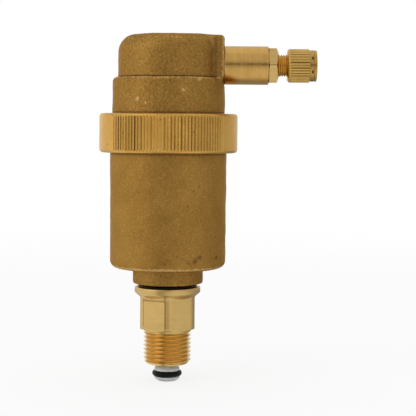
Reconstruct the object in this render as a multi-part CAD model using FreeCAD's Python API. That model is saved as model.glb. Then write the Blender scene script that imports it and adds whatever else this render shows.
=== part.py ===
import FreeCAD
import Part
import math
import os

# Automatic air vent valve with a side outlet, a float, a lever and an isolating valve below.
# Millimetres. The origin is on the upright axis, where the pipe thread ends at the hexagon.
# +Z is up and +X is the way the outlet points. The vent stands open and empty, float down.

# Clearances and gaps
running_fit = 0.05
guide_fit = 0.3
thread_fit = 0.08
seal_gap = 0.05

# Isolating valve: pipe thread G 1/2, hexagon, flange, and the bores inside
pipe_thread_radius = 10.478
pipe_thread_length = 15.7
pipe_end_chamfer = 1.0
hexagon_flats = 24.0
hexagon_height = 13.8
hexagon_corner_cut = 0.7
hexagon_chamfer = 0.7
hexagon_turn = 2.3
flange_rim = 1.45
flange_cone_height = 2.3
flange_cone_overhang = 0.05
flange_thickness = 2.6
flange_edge_round = 0.4
socket_room = 2.25
socket_ledge = 1.41
spring_pocket_length = 10.0
spring_ledge = 1.1
water_seat_chamfer = 0.5

# Ring seal between the isolating valve and the neck
neck_ring_section = 2.5
neck_ring_from_tail = 2.12
neck_ring_sunk = 1.1
neck_ring_side_room = 0.15

# Plunger of the isolating valve, with its ring, spring and push disc
plunger_travel = 3.6
plunger_closed_drop = 0.85
plunger_ring_section = 2.6
plunger_ring_groove = 1.6
plunger_cone_length = 3.0
plunger_cone_step = 1.4
plunger_lower_disc = 1.9
plunger_lower_bevel = 1.4
plunger_lower_step = 1.8
plunger_lower_round = 0.4
plunger_rib_thickness = 1.4
plunger_stem_radius = 2.2
push_disc_play = 0.5
push_disc_thickness = 1.6
push_disc_hole_radius = 1.3
push_disc_hole_circle = 4.0
push_disc_holes = 6
plunger_spring_wire = 0.8
plunger_spring_play = 0.2
plunger_spring_turns = 5

# Float chamber: threaded tail G 3/8, neck, cast body, and the threaded collar at its rim
tail_thread_radius = 8.33
tail_length = 10.0
tail_chamfer = 0.8
neck_radius = 15.5
neck_height = 6.9
neck_edge_round = 0.5
vent_bore_radius = 5.5
chamber_bottom_radius = 25.45
chamber_taper = 0.25
chamber_bottom_round = 3.1
chamber_height = 60.7
chamber_wall = 2.6
chamber_floor = 3.4
chamber_floor_fall = 1.2
chamber_inner_round = 3.0
collar_step = 1.8
collar_length = 7.9
collar_chamfer = 0.8

# Flat seal in the rim, inside a thin lip
rim_lip = 1.05
rim_seal_width = 3.1
rim_seal_thickness = 1.5
rim_seal_sunk = 1.0

# Cover: register, flange, shoulder, cap, and the pad that carries the outlet
register_depth = 3.0
cover_flange_thickness = 3.4
shoulder_taper = 0.3
shoulder_height = 19.2
shoulder_round = 1.9
shoulder_ledge = 2.3
cap_height = 18.5
cap_top_round = 4.8
cap_crown = 0.4
cover_lower_wall = 3.4
cover_upper_wall = 2.7
cover_top_wall = 2.8
cover_inner_round = 1.5
pad_inset = 0.1
pad_margin = 0.7
pad_edge_round = 1.7
pad_blend = 2.0
pad_skirt = 2.4
pad_wall = 5.5
outlet_above_shoulder = 5.5
spot_face_depth = 0.5
spot_face_margin = 0.8

# Union nut
nut_wall = 2.92
nut_height = 17.2
nut_edge_round = 1.5
nut_lip_thickness = 3.2
nut_lip_overlap = 2.35
nut_lip_gap = 0.25
nut_seat_gap = 0.1
nut_entry_chamfer = 0.8
knurl_pitch = 2.77
knurl_count = 39
knurl_depth = 0.4
knurl_groove_width = 1.0
knurl_rim = 0.85

# Outlet spigot and its ring seal
spigot_radius = 8.5
spigot_length = 20.1
spigot_end_chamfer = 0.6
stub_step = 2.0
spigot_ring_section = 1.0
spigot_ring_room = 0.1

# Outlet nipple with its hexagon, thread M 10 x 1 and washer
nipple_thread_radius = 5.0
nipple_flats = 15.0
nipple_hexagon_length = 4.1
nipple_chamfer = 1.2
nipple_end_chamfer = 0.5
nipple_tail_length = 7.75
nipple_bore_radius = 2.5
nipple_washer_thickness = 0.8
nipple_washer_bore = 3.0

# Vent cap: knurled barrel, slotted end, washer and discs
cap_open_gap = 3.9
cap_close_travel = 3.0
cap_barrel_wall = 1.5
cap_barrel_length = 9.7
cap_barrel_chamfer = 0.5
cap_thread_length = 7.9
cap_pocket_step = 0.82
cap_washer_thickness = 1.0
cap_washer_bore = 2.0
cap_disc_thickness = 0.7
cap_discs = 2
cap_end_step = 0.5
cap_end_length = 3.2
cap_end_wall = 1.2
cap_end_round = 0.4
cap_end_plate_thickness = 1.0
cap_slots = 7
cap_slot_start = 0.9
cap_slot_length = 0.65
cap_slot_width = 1.5
cap_slot_turn = 24.5
cap_knurl_count = 36
cap_knurl_depth = 0.35
cap_knurl_width = 0.8
cap_knurl_margin = 0.8

# Valve inside the outlet: seat, stem, rubber disc, spring and clip
seat_barrel_radius = 4.0
seat_barrel_length = 5.0
seat_flange_step = 1.0
seat_flange_thickness = 1.5
seat_lip_height = 0.5
seat_lip_width = 0.9
seat_bore_radius = 1.8
stem_radius = 1.0
stem_travel = 1.5
stem_collar_radius = 2.3
stem_collar_thickness = 1.0
stem_tail = 1.2
valve_disc_margin = 0.7
valve_disc_thickness = 2.0
stem_spring_length = 7.0
stem_spring_wire = 0.5
stem_spring_middle = 2.4
stem_spring_turns = 5
clip_radius = 3.0
clip_thickness = 0.6

# Lever, its bracket and pins
lever_short_arm = 6.0
lever_side = 1.3
lever_thickness = 1.2
lever_hub = 2.2
lever_tip = 0.7
lever_neck = 0.5
lever_end = 1.7
lever_web_start = 6.0
lever_web_margin = 5.0
lever_web_thickness = 1.2
lever_web_lift = 0.2
lever_pin_radius = 1.0
lever_pin_head_radius = 1.6
lever_pin_head = 0.6
hook_pin_radius = 0.9
hook_pin_overhang = 0.4
bracket_plate_thickness = 1.0
bracket_plate_radius = 7.5
bracket_cheek_thickness = 1.0
bracket_cheek_gap = 0.3
bracket_cheek_margin = 2.2

# Float with its hook
float_room = 2.85
float_height = 48.0
float_wall = 1.2
float_round = 3.0
float_base_skirt = 3.0
hook_height = 13.4
hook_from_edge = 7.035
hook_width = 5.0
hook_foot_radius = 3.8
hook_foot_thickness = 1.0
hook_slot_play = 0.3
hook_crown = 1.2
hook_edge_round = 1.0

# Radii of the body that follow from the chamber's
chamber_top_radius = chamber_bottom_radius + chamber_taper
collar_radius = chamber_top_radius + collar_step
nut_radius = collar_radius + thread_fit + nut_wall
seal_outer_radius = collar_radius - rim_lip - running_fit
seal_inner_radius = seal_outer_radius - rim_seal_width
register_radius = seal_inner_radius - guide_fit
shoulder_radius = collar_radius - nut_lip_overlap - nut_lip_gap
shoulder_top_radius = shoulder_radius - shoulder_taper
cap_radius = shoulder_top_radius - shoulder_ledge
float_radius = chamber_bottom_radius - chamber_wall - float_room

# Radii that follow from the tail's thread, down to the plunger
socket_radius = tail_thread_radius + thread_fit
push_disc_radius = socket_radius - push_disc_play
spring_pocket_radius = socket_radius - socket_ledge
water_bore_radius = spring_pocket_radius - spring_ledge
plunger_spring_middle = spring_pocket_radius - plunger_spring_play - plunger_spring_wire / 2
plunger_disc_radius = water_bore_radius - guide_fit
plunger_ring_middle = plunger_disc_radius - plunger_ring_groove + plunger_ring_section / 2
neck_ring_middle = tail_thread_radius + neck_ring_from_tail + neck_ring_section / 2
neck_recess_radius = neck_ring_middle + neck_ring_section / 2 + neck_ring_side_room
flange_radius = neck_recess_radius + flange_rim

# Radii that follow round the outlet
stub_radius = spigot_radius - stub_step
spot_face_radius = spigot_radius + spot_face_margin
pad_half_width = spot_face_radius + pad_margin
spigot_bore_radius = seat_barrel_radius + running_fit
seat_flange_radius = seat_barrel_radius + seat_flange_step
seat_lip_radius = seat_bore_radius + seat_lip_width
valve_disc_radius = seat_lip_radius + valve_disc_margin
cap_bore_radius = nipple_thread_radius + thread_fit
cap_pocket_radius = cap_bore_radius + cap_pocket_step
cap_disc_radius = cap_pocket_radius - guide_fit
cap_barrel_radius = cap_pocket_radius + cap_barrel_wall
cap_end_radius = cap_barrel_radius - cap_end_step

# Heights that follow, from the pipe thread up
pipe_end_z = -pipe_thread_length
flange_bottom_z = hexagon_height + flange_cone_height
flange_top_z = flange_bottom_z + flange_thickness
neck_ring_floor_z = flange_top_z - neck_ring_sunk
neck_z = neck_ring_floor_z + neck_ring_section + seal_gap
tail_end_z = neck_z - tail_length
chamber_bottom_z = neck_z + neck_height
rim_z = chamber_bottom_z + chamber_height
cover_z = rim_z - rim_seal_sunk + rim_seal_thickness
cover_flange_top_z = cover_z + cover_flange_thickness
nut_top_z = cover_flange_top_z + nut_seat_gap + nut_lip_thickness
nut_bottom_z = nut_top_z - nut_height
shoulder_z = cover_flange_top_z + shoulder_height
cover_top_z = shoulder_z + cap_height
outlet_z = shoulder_z + outlet_above_shoulder
plunger_ring_z = pipe_end_z - plunger_closed_drop - plunger_travel
push_disc_z = tail_end_z - push_disc_thickness
socket_floor_z = push_disc_z - socket_room
pocket_floor_z = socket_floor_z - spring_pocket_length

# Places along the outlet that follow, from the pad outwards and inwards
pad_face = shoulder_top_radius - pad_inset
spot_face_x = pad_face - spot_face_depth
pad_inner_x = spot_face_x - pad_wall
spigot_end_x = spot_face_x + spigot_length
nipple_hexagon_end_x = spigot_end_x + nipple_hexagon_length
cap_start_x = nipple_hexagon_end_x + cap_open_gap
cap_end_x = cap_start_x + cap_barrel_length
cap_shoulder_x = cap_start_x + cap_thread_length
nipple_end_x = cap_shoulder_x - cap_close_travel - seal_gap
nipple_tail_x = spigot_end_x - nipple_tail_length
nipple_washer_x = nipple_tail_x - nipple_washer_thickness
bracket_x = pad_inner_x - bracket_plate_thickness
seat_flange_x = bracket_x - seat_flange_thickness
seat_x = seat_flange_x - seat_lip_height
valve_disc_x = seat_x - seal_gap - stem_travel - valve_disc_thickness
stem_groove_width = 2 * lever_tip + guide_fit
stem_groove_x = valve_disc_x - stem_collar_thickness - stem_groove_width / 2
stem_start_x = stem_groove_x - stem_groove_width / 2 - stem_collar_thickness
stem_spring_x = bracket_x + seat_barrel_length
clip_x = stem_spring_x + stem_spring_length

# Lever and float: the stem's travel sets the swing, and the float's edge the long arm
lever_swing = stem_travel / lever_short_arm
pivot_x = stem_groove_x + lever_short_arm * math.sin(lever_swing / 2)
pivot_z = outlet_z - lever_short_arm * math.cos(lever_swing / 2)
hook_x = hook_from_edge - float_radius
lever_long_arm = (pivot_x - hook_x) / math.cos(lever_swing / 2)
lever_web_end = lever_long_arm - lever_web_margin
hook_z = pivot_z - lever_long_arm * math.sin(lever_swing / 2)
hook_thickness = 2 * (lever_side - guide_fit)
float_top_z = hook_z - hook_height
float_bottom_z = float_top_z - float_height

origin = FreeCAD.Vector(0, 0, 0)
upwards = FreeCAD.Vector(0, 0, 1)
sideways = FreeCAD.Vector(0, 1, 0)
outwards = FreeCAD.Vector(1, 0, 0)


def corner_arc(before, here, after, rounding):
    """Start, middle and end of the arc that rounds one corner of an outline."""
    to_before = (before - here).normalize()
    to_after = (after - here).normalize()
    half_angle = to_before.getAngle(to_after) / 2
    reach = rounding / math.tan(half_angle)
    bisector = (to_before + to_after).normalize()
    middle = here + bisector * (rounding / math.sin(half_angle) - rounding)
    return here + to_before * reach, middle, here + to_after * reach


def outline(corners):
    """Closed face in the XZ plane. Each corner is (x, z) or (x, z, rounding)."""
    points = [FreeCAD.Vector(corner[0], 0, corner[1]) for corner in corners]
    edges = []
    joints = []
    for index, corner in enumerate(corners):
        here = points[index]
        if len(corner) == 3:
            before = points[index - 1]
            after = points[(index + 1) % len(points)]
            start, middle, end = corner_arc(before, here, after, corner[2])
            edges.append(Part.Arc(start, middle, end).toShape())
            joints.append((start, end))
        else:
            joints.append((here, here))
    for index, (start, end) in enumerate(joints):
        next_start = joints[(index + 1) % len(joints)][0]
        if end.distanceToPoint(next_start) > 1e-6:
            edges.append(Part.LineSegment(end, next_start).toShape())
    return Part.Face(Part.Wire(Part.__sortEdges__(edges)))


def turned(corners):
    """Solid of revolution about the upright axis, from (radius, height) corners."""
    return outline(corners).revolve(origin, upwards, 360)


def along_outlet(shape):
    """Turns an upright shape so that its height runs along the outlet's axis."""
    laid = shape.copy()
    laid.rotate(origin, sideways, 90)
    laid.translate(FreeCAD.Vector(0, 0, outlet_z))
    return laid


def outlet_turned(corners):
    """Solid of revolution about the outlet's axis, from (radius, x) corners."""
    return along_outlet(turned(corners))


def washer(inner, outer, low, high):
    """Flat ring about the upright axis."""
    return turned([(inner, low), (outer, low), (outer, high), (inner, high)])


def round_bar(radius, low, high):
    """Plain cylinder about the upright axis."""
    return Part.makeCylinder(radius, high - low, FreeCAD.Vector(0, 0, low), upwards)


def cross_bar(radius, x, z, half_length):
    """Cylinder that runs across the valve, along Y."""
    start = FreeCAD.Vector(x, -half_length, z)
    return Part.makeCylinder(radius, 2 * half_length, start, sideways)


def block(low, high):
    """Box between two opposite corners."""
    size = [high[axis] - low[axis] for axis in range(3)]
    return Part.makeBox(size[0], size[1], size[2], FreeCAD.Vector(*low))


def plate(corners, low_y, thickness):
    """Flat plate that stands in the XZ plane, from its (x, z) corners."""
    sheet = outline(corners).extrude(FreeCAD.Vector(0, thickness, 0))
    sheet.translate(FreeCAD.Vector(0, low_y, 0))
    return sheet


def hexagon(flats, low, high, turn):
    """Hexagonal bar about the upright axis. At a turn of 0 a corner faces -Y."""
    reach = flats / math.sqrt(3)
    corners = []
    for side in range(7):
        angle = math.radians(-90 + turn + 60 * side)
        corners.append(FreeCAD.Vector(reach * math.cos(angle), reach * math.sin(angle), low))
    return Part.Face(Part.makePolygon(corners)).extrude(FreeCAD.Vector(0, 0, high - low))


def ring_seal(middle, section, centre_z):
    """Rubber ring of round section."""
    return Part.makeTorus(middle, section / 2, FreeCAD.Vector(0, 0, centre_z), upwards)


def coil_spring(middle, wire, turns, low, high):
    """Open coil spring whose wire stays between two heights, with its ends cut square."""
    rise = high - low - wire
    path = Part.makeHelix(rise / turns, rise, middle)
    path.translate(FreeCAD.Vector(0, 0, low + wire / 2))
    start = FreeCAD.Vector(middle, 0, low + wire / 2)
    section = Part.Wire(Part.makeCircle(wire / 2, start, sideways))
    return Part.Wire(path.Edges).makePipeShell([section], True, True)


def grooves(count, pitch, first, radius, depth, width, low, high):
    """V-shaped cutters round the upright axis, to knurl a cylinder with straight grooves."""
    outside = radius + depth
    half = width / 2 * (outside - radius + depth) / depth
    tip = FreeCAD.Vector(radius - depth, 0, low)
    left = FreeCAD.Vector(outside, -half, low)
    right = FreeCAD.Vector(outside, half, low)
    triangle = Part.Face(Part.makePolygon([tip, left, right, tip]))
    cutter = triangle.extrude(FreeCAD.Vector(0, 0, high - low))
    cutters = []
    for index in range(count):
        copy = cutter.copy()
        copy.rotate(origin, upwards, first + pitch * index)
        cutters.append(copy)
    return cutters


def isolating_valve_body():
    """Hexagon with the pipe thread below it and a flange for the ring seal above it."""
    thread = turned([
        (0, pipe_end_z),
        (pipe_thread_radius - pipe_end_chamfer, pipe_end_z),
        (pipe_thread_radius, pipe_end_z + pipe_end_chamfer),
        (pipe_thread_radius, 0),
        (0, 0),
    ])
    corner_radius = hexagon_flats / math.sqrt(3) - hexagon_corner_cut
    envelope = turned([
        (0, 0),
        (corner_radius - hexagon_chamfer, 0),
        (corner_radius, hexagon_chamfer),
        (corner_radius, hexagon_height),
        (0, hexagon_height),
    ])
    bar = hexagon(hexagon_flats, 0, hexagon_height, hexagon_turn).common(envelope)
    flange = turned([
        (0, hexagon_height),
        (hexagon_flats / 2 + flange_cone_overhang, hexagon_height),
        (flange_radius, flange_bottom_z, flange_edge_round),
        (flange_radius, flange_top_z, flange_edge_round),
        (0, flange_top_z),
    ])
    bores = turned([
        (0, pipe_end_z),
        (water_bore_radius + water_seat_chamfer, pipe_end_z),
        (water_bore_radius, pipe_end_z + water_seat_chamfer),
        (water_bore_radius, pocket_floor_z),
        (spring_pocket_radius, pocket_floor_z),
        (spring_pocket_radius, socket_floor_z),
        (socket_radius, socket_floor_z),
        (socket_radius, neck_ring_floor_z),
        (neck_recess_radius, neck_ring_floor_z),
        (neck_recess_radius, flange_top_z),
        (0, flange_top_z),
    ])
    return thread.fuse([bar, flange]).cut(bores).removeSplitter()


def isolating_plunger():
    """Plunger with a cone, the groove of its ring and a disc, and a ribbed stem up the bore."""
    groove_radius = plunger_ring_middle - plunger_ring_section / 2
    lower_z = plunger_ring_z - plunger_ring_section / 2
    upper_z = plunger_ring_z + plunger_ring_section / 2
    bottom_z = lower_z - plunger_lower_disc
    shoulder_top = upper_z + plunger_cone_length
    spool = turned([
        (0, bottom_z),
        (plunger_disc_radius - plunger_lower_step, bottom_z, plunger_lower_round),
        (plunger_disc_radius, bottom_z + plunger_lower_bevel, plunger_lower_round),
        (plunger_disc_radius, lower_z),
        (groove_radius, lower_z),
        (groove_radius, upper_z),
        (plunger_disc_radius, upper_z),
        (plunger_disc_radius - plunger_cone_step, shoulder_top),
        (plunger_stem_radius, shoulder_top),
        (plunger_stem_radius, push_disc_z + push_disc_thickness - seal_gap),
        (0, push_disc_z + push_disc_thickness - seal_gap),
    ])
    rib_top = push_disc_z - seal_gap
    half_rib = plunger_rib_thickness / 2
    reach = plunger_disc_radius
    rib = block((-reach, -half_rib, shoulder_top), (reach, half_rib, rib_top))
    cross_rib = block((-half_rib, -reach, shoulder_top), (half_rib, reach, rib_top))
    guide = round_bar(reach, shoulder_top, rib_top)
    ribs = rib.fuse(cross_rib).common(guide)
    return spool.fuse(ribs).removeSplitter()


def plunger_push_disc():
    """Perforated disc on the plunger's stem. The vent's tail pushes it down."""
    disc = washer(plunger_stem_radius, push_disc_radius, push_disc_z, tail_end_z)
    for index in range(push_disc_holes):
        angle = 2 * math.pi * index / push_disc_holes
        hole = round_bar(push_disc_hole_radius, push_disc_z, tail_end_z)
        hole.translate(FreeCAD.Vector(math.cos(angle), math.sin(angle), 0) * push_disc_hole_circle)
        disc = disc.cut(hole)
    return disc


def plunger_spring():
    """Spring that lifts the plunger when the vent is unscrewed."""
    low = pocket_floor_z + seal_gap
    high = push_disc_z - seal_gap
    return coil_spring(plunger_spring_middle, plunger_spring_wire, plunger_spring_turns, low, high)


def float_chamber():
    """Cast body with the threaded tail and neck below it and the threaded collar on its rim."""
    inner_bottom = chamber_bottom_radius - chamber_wall
    register_bore = register_radius + running_fit
    floor_z = chamber_bottom_z + chamber_floor
    collar_z = rim_z - collar_length
    outside = turned([
        (0, tail_end_z),
        (tail_thread_radius - tail_chamfer, tail_end_z),
        (tail_thread_radius, tail_end_z + tail_chamfer),
        (tail_thread_radius, neck_z),
        (neck_radius, neck_z, neck_edge_round),
        (neck_radius, chamber_bottom_z),
        (chamber_bottom_radius, chamber_bottom_z, chamber_bottom_round),
        (chamber_top_radius, collar_z),
        (collar_radius - collar_chamfer, collar_z),
        (collar_radius, collar_z + collar_chamfer),
        (collar_radius, rim_z - collar_chamfer),
        (collar_radius - collar_chamfer, rim_z),
        (0, rim_z),
    ])
    inside = turned([
        (0, tail_end_z),
        (vent_bore_radius, tail_end_z),
        (vent_bore_radius, floor_z - chamber_floor_fall),
        (inner_bottom, floor_z, chamber_inner_round),
        (register_bore, rim_z - register_depth - chamber_wall),
        (register_bore, rim_z - rim_seal_sunk),
        (seal_outer_radius + running_fit, rim_z - rim_seal_sunk),
        (seal_outer_radius + running_fit, rim_z),
        (0, rim_z),
    ])
    return outside.cut(inside)


def cover_gasket():
    """Flat seal between the chamber's rim and the cover's flange."""
    low = rim_z - rim_seal_sunk
    return washer(seal_inner_radius, seal_outer_radius, low, low + rim_seal_thickness)


def pad_solid():
    """Upright pad on the cap's side, with rounded edges and a blend into the round wall."""
    bottom = shoulder_z - pad_skirt
    height = cover_top_z - bottom
    width = pad_half_width
    rounding = pad_edge_round
    blend_y = width + pad_blend
    blend_x = math.sqrt((cap_radius + pad_blend) ** 2 - blend_y ** 2)
    share = cap_radius / (cap_radius + pad_blend)
    diagonal = FreeCAD.Vector(blend_x, blend_y, 0).normalize()
    bend = FreeCAD.Vector(0, -1, 0) - diagonal
    edges = []
    for side in (-1, 1):
        wall = FreeCAD.Vector(blend_x * share, blend_y * share * side, 0)
        hollow = bend.normalize() * pad_blend
        middle = FreeCAD.Vector(blend_x + hollow.x, (blend_y + hollow.y) * side, 0)
        flank = FreeCAD.Vector(blend_x, width * side, 0)
        corner = FreeCAD.Vector(pad_face, width * side, 0)
        start = corner - outwards * rounding
        end = corner - sideways * side * rounding
        turn = corner - (outwards + sideways * side) * rounding * (1 - math.sqrt(0.5))
        edges.append(Part.LineSegment(FreeCAD.Vector(blend_x * share, 0, 0), wall).toShape())
        edges.append(Part.Arc(wall, middle, flank).toShape())
        edges.append(Part.LineSegment(flank, start).toShape())
        edges.append(Part.Arc(start, turn, end).toShape())
        edges.append(Part.LineSegment(end, FreeCAD.Vector(pad_face, 0, 0)).toShape())
    plan = Part.Face(Part.Wire(Part.__sortEdges__(edges)))
    plan.translate(FreeCAD.Vector(0, 0, bottom))
    post = plan.extrude(FreeCAD.Vector(0, 0, height))
    inner = block((0, -width, bottom), (cap_radius, width, cover_top_z))
    post = post.fuse(inner)
    side_view = plate(
        [
            (0, bottom),
            (pad_face - pad_skirt, bottom),
            (pad_face, shoulder_z, rounding / 2),
            (pad_face, cover_top_z, rounding),
            (0, cover_top_z),
        ],
        -2 * width,
        4 * width,
    )
    return post.common(side_view)


def cover():
    """Cast cover: register and flange, shoulder, rounded cap, and the pad for the outlet."""
    lower_inner = shoulder_radius - cover_lower_wall
    upper_inner = cap_radius - cover_upper_wall
    ledge_z = shoulder_z - cover_lower_wall
    ceiling_z = cover_top_z - cover_top_wall
    shell = turned([
        (0, cover_z - register_depth),
        (register_radius, cover_z - register_depth),
        (register_radius, cover_z),
        (collar_radius - running_fit, cover_z),
        (collar_radius - running_fit, cover_flange_top_z),
        (shoulder_radius, cover_flange_top_z),
        (shoulder_top_radius, shoulder_z, shoulder_round),
        (cap_radius, shoulder_z),
        (cap_radius, cover_top_z, cap_top_round),
        (0, cover_top_z + cap_crown),
    ])
    lower_room = turned([
        (0, cover_z - register_depth),
        (lower_inner, cover_z - register_depth),
        (lower_inner, ledge_z, cover_inner_round),
        (0, ledge_z),
    ])
    upper_room = turned([
        (0, ledge_z),
        (upper_inner, ledge_z),
        (upper_inner, ceiling_z, cover_inner_round),
        (0, ceiling_z),
    ])
    pad_boss = block((pad_inner_x, -cap_radius, ledge_z), (cap_radius, cap_radius, ceiling_z))
    hole = round_bar(stub_radius + thread_fit, pad_inner_x, pad_face)
    spot_face = round_bar(spot_face_radius, spot_face_x, pad_face + shoulder_radius)
    seal_depth = spot_face_x - spigot_ring_section - spigot_ring_room
    seal_seat = round_bar(stub_radius + spigot_ring_section + 2 * spigot_ring_room,
                          seal_depth, spot_face_x)
    bracket_seat = round_bar(bracket_plate_radius + guide_fit, bracket_x - guide_fit, pad_inner_x)
    outlet_cuts = [along_outlet(cut) for cut in (hole, spot_face, seal_seat, bracket_seat)]
    body = shell.fuse(pad_solid())
    return body.cut([lower_room, upper_room.cut(pad_boss)] + outlet_cuts).removeSplitter()


def ring_nut():
    """Union nut with a lip over the cover's flange, knurled in front and behind."""
    bore = collar_radius + thread_fit
    lip = shoulder_radius + nut_lip_gap
    lip_z = nut_top_z - nut_lip_thickness
    blank = turned([
        (bore + nut_entry_chamfer, nut_bottom_z),
        (nut_radius, nut_bottom_z, nut_edge_round),
        (nut_radius, nut_top_z, nut_edge_round),
        (lip, nut_top_z),
        (lip, lip_z),
        (bore, lip_z),
        (bore, nut_bottom_z + nut_entry_chamfer),
    ])
    cutters = []
    for middle in (-90, 90):
        first = middle - knurl_pitch * (knurl_count - 1) / 2
        cutters += grooves(knurl_count, knurl_pitch, first, nut_radius, knurl_depth,
                           knurl_groove_width, nut_bottom_z + knurl_rim + nut_edge_round / 2,
                           nut_top_z - knurl_rim - nut_edge_round / 2)
    return blank.cut(cutters)


def outlet_spigot():
    """Turned tube screwed into the pad, with a stub inside and a socket for the nipple."""
    stub_x = pad_inner_x + seal_gap
    socket = nipple_thread_radius + thread_fit
    return outlet_turned([
        (spigot_bore_radius, stub_x),
        (stub_radius, stub_x),
        (stub_radius, spot_face_x),
        (spigot_radius, spot_face_x),
        (spigot_radius, spigot_end_x - spigot_end_chamfer),
        (spigot_radius - spigot_end_chamfer, spigot_end_x),
        (socket, spigot_end_x),
        (socket, nipple_washer_x),
        (spigot_bore_radius, nipple_washer_x),
    ])


def spigot_seal():
    """Ring seal under the spigot's shoulder, in the pad's counterbore."""
    middle = stub_radius + spigot_ring_room + spigot_ring_section / 2
    centre_x = spot_face_x - spigot_ring_room / 2 - spigot_ring_section / 2
    return along_outlet(ring_seal(middle, spigot_ring_section, centre_x))


def outlet_nipple():
    """Nipple with a hexagon: its tail screws into the spigot and the cap onto its neck."""
    reach = nipple_flats / math.sqrt(3)
    slope = nipple_chamfer / (nipple_flats / 2 - nipple_thread_radius)
    envelope = turned([
        (0, spigot_end_x),
        (reach, spigot_end_x),
        (reach, nipple_hexagon_end_x - slope * (reach - nipple_thread_radius)),
        (nipple_thread_radius, nipple_hexagon_end_x),
        (0, nipple_hexagon_end_x),
    ])
    bar = hexagon(nipple_flats, spigot_end_x, nipple_hexagon_end_x, 0).common(envelope)
    rod = turned([
        (0, nipple_tail_x),
        (nipple_thread_radius, nipple_tail_x),
        (nipple_thread_radius, nipple_end_x - nipple_end_chamfer),
        (nipple_thread_radius - nipple_end_chamfer, nipple_end_x),
        (0, nipple_end_x),
    ])
    bore = round_bar(nipple_bore_radius, nipple_tail_x, nipple_end_x)
    return along_outlet(bar.fuse(rod).cut(bore).removeSplitter())


def nipple_washer():
    """Fibre washer at the bottom of the spigot's socket."""
    return along_outlet(washer(nipple_washer_bore, nipple_thread_radius,
                               nipple_washer_x, nipple_tail_x))


def cap_barrel():
    """Knurled cap, threaded inside, with a pocket for the washer and the discs."""
    blank = turned([
        (cap_bore_radius, cap_start_x),
        (cap_barrel_radius - cap_barrel_chamfer, cap_start_x),
        (cap_barrel_radius, cap_start_x + cap_barrel_chamfer),
        (cap_barrel_radius, cap_end_x),
        (cap_pocket_radius, cap_end_x),
        (cap_pocket_radius, cap_shoulder_x),
        (cap_bore_radius, cap_shoulder_x),
    ])
    cutters = grooves(cap_knurl_count, 360 / cap_knurl_count, 0, cap_barrel_radius,
                      cap_knurl_depth, cap_knurl_width, cap_start_x + cap_knurl_margin, cap_end_x)
    return along_outlet(blank.cut(cutters))


def cap_end_plate():
    """Closed end of the cap, with a ring of slots that let the air out."""
    room = cap_end_radius - cap_end_wall
    far_x = cap_end_x + cap_end_length
    cup = turned([
        (room, cap_end_x),
        (cap_end_radius, cap_end_x),
        (cap_end_radius, far_x, cap_end_round),
        (0, far_x),
        (0, far_x - cap_end_plate_thickness),
        (room, far_x - cap_end_plate_thickness),
    ])
    slot_x = cap_end_x + cap_slot_start
    slot = block((0, -cap_slot_width / 2, slot_x),
                 (cap_end_radius + 1, cap_slot_width / 2, slot_x + cap_slot_length))
    for index in range(cap_slots):
        cutter = slot.copy()
        cutter.rotate(origin, upwards, -90 + cap_slot_turn + 360 * index / cap_slots)
        cup = cup.cut(cutter)
    return along_outlet(cup)


def cap_seal_washer():
    """Rubber washer that closes on the nipple's end when the cap is screwed home."""
    return along_outlet(washer(cap_washer_bore, cap_disc_radius,
                               cap_shoulder_x, cap_shoulder_x + cap_washer_thickness))


def hygroscopic_discs():
    """Fibre discs that let air through and swell shut when water reaches them."""
    discs = []
    for index in range(cap_discs):
        low = cap_shoulder_x + cap_washer_thickness + index * (cap_disc_thickness + seal_gap)
        discs.append(along_outlet(round_bar(cap_disc_radius, low, low + cap_disc_thickness)))
    return Part.Compound(discs)


def valve_seat():
    """Seat with a raised lip, screwed into the spigot. Its flange clamps the bracket."""
    return outlet_turned([
        (seat_bore_radius, seat_x),
        (seat_lip_radius, seat_x),
        (seat_lip_radius, seat_flange_x),
        (seat_flange_radius, seat_flange_x),
        (seat_flange_radius, bracket_x),
        (seat_barrel_radius, bracket_x),
        (seat_barrel_radius, stem_spring_x),
        (seat_bore_radius, stem_spring_x),
    ])


def valve_stem():
    """Stem with the collars that the lever moves and that back the rubber disc."""
    groove_start = stem_groove_x - stem_groove_width / 2
    groove_end = stem_groove_x + stem_groove_width / 2
    far_x = clip_x + clip_thickness + stem_tail
    return outlet_turned([
        (0, stem_start_x),
        (stem_collar_radius, stem_start_x),
        (stem_collar_radius, groove_start),
        (stem_radius, groove_start),
        (stem_radius, groove_end),
        (stem_collar_radius, groove_end),
        (stem_collar_radius, valve_disc_x),
        (stem_radius, valve_disc_x),
        (stem_radius, far_x),
        (0, far_x),
    ])


def valve_disc():
    """Rubber disc that closes on the seat's lip."""
    return along_outlet(washer(stem_radius, valve_disc_radius,
                               valve_disc_x, valve_disc_x + valve_disc_thickness))


def stem_spring():
    """Spring that pulls the disc towards its seat."""
    return along_outlet(coil_spring(stem_spring_middle, stem_spring_wire, stem_spring_turns,
                                    stem_spring_x + seal_gap, clip_x - seal_gap))


def spring_clip():
    """Retaining clip that holds the spring on the stem."""
    return along_outlet(washer(stem_radius, clip_radius, clip_x, clip_x + clip_thickness))


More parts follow.
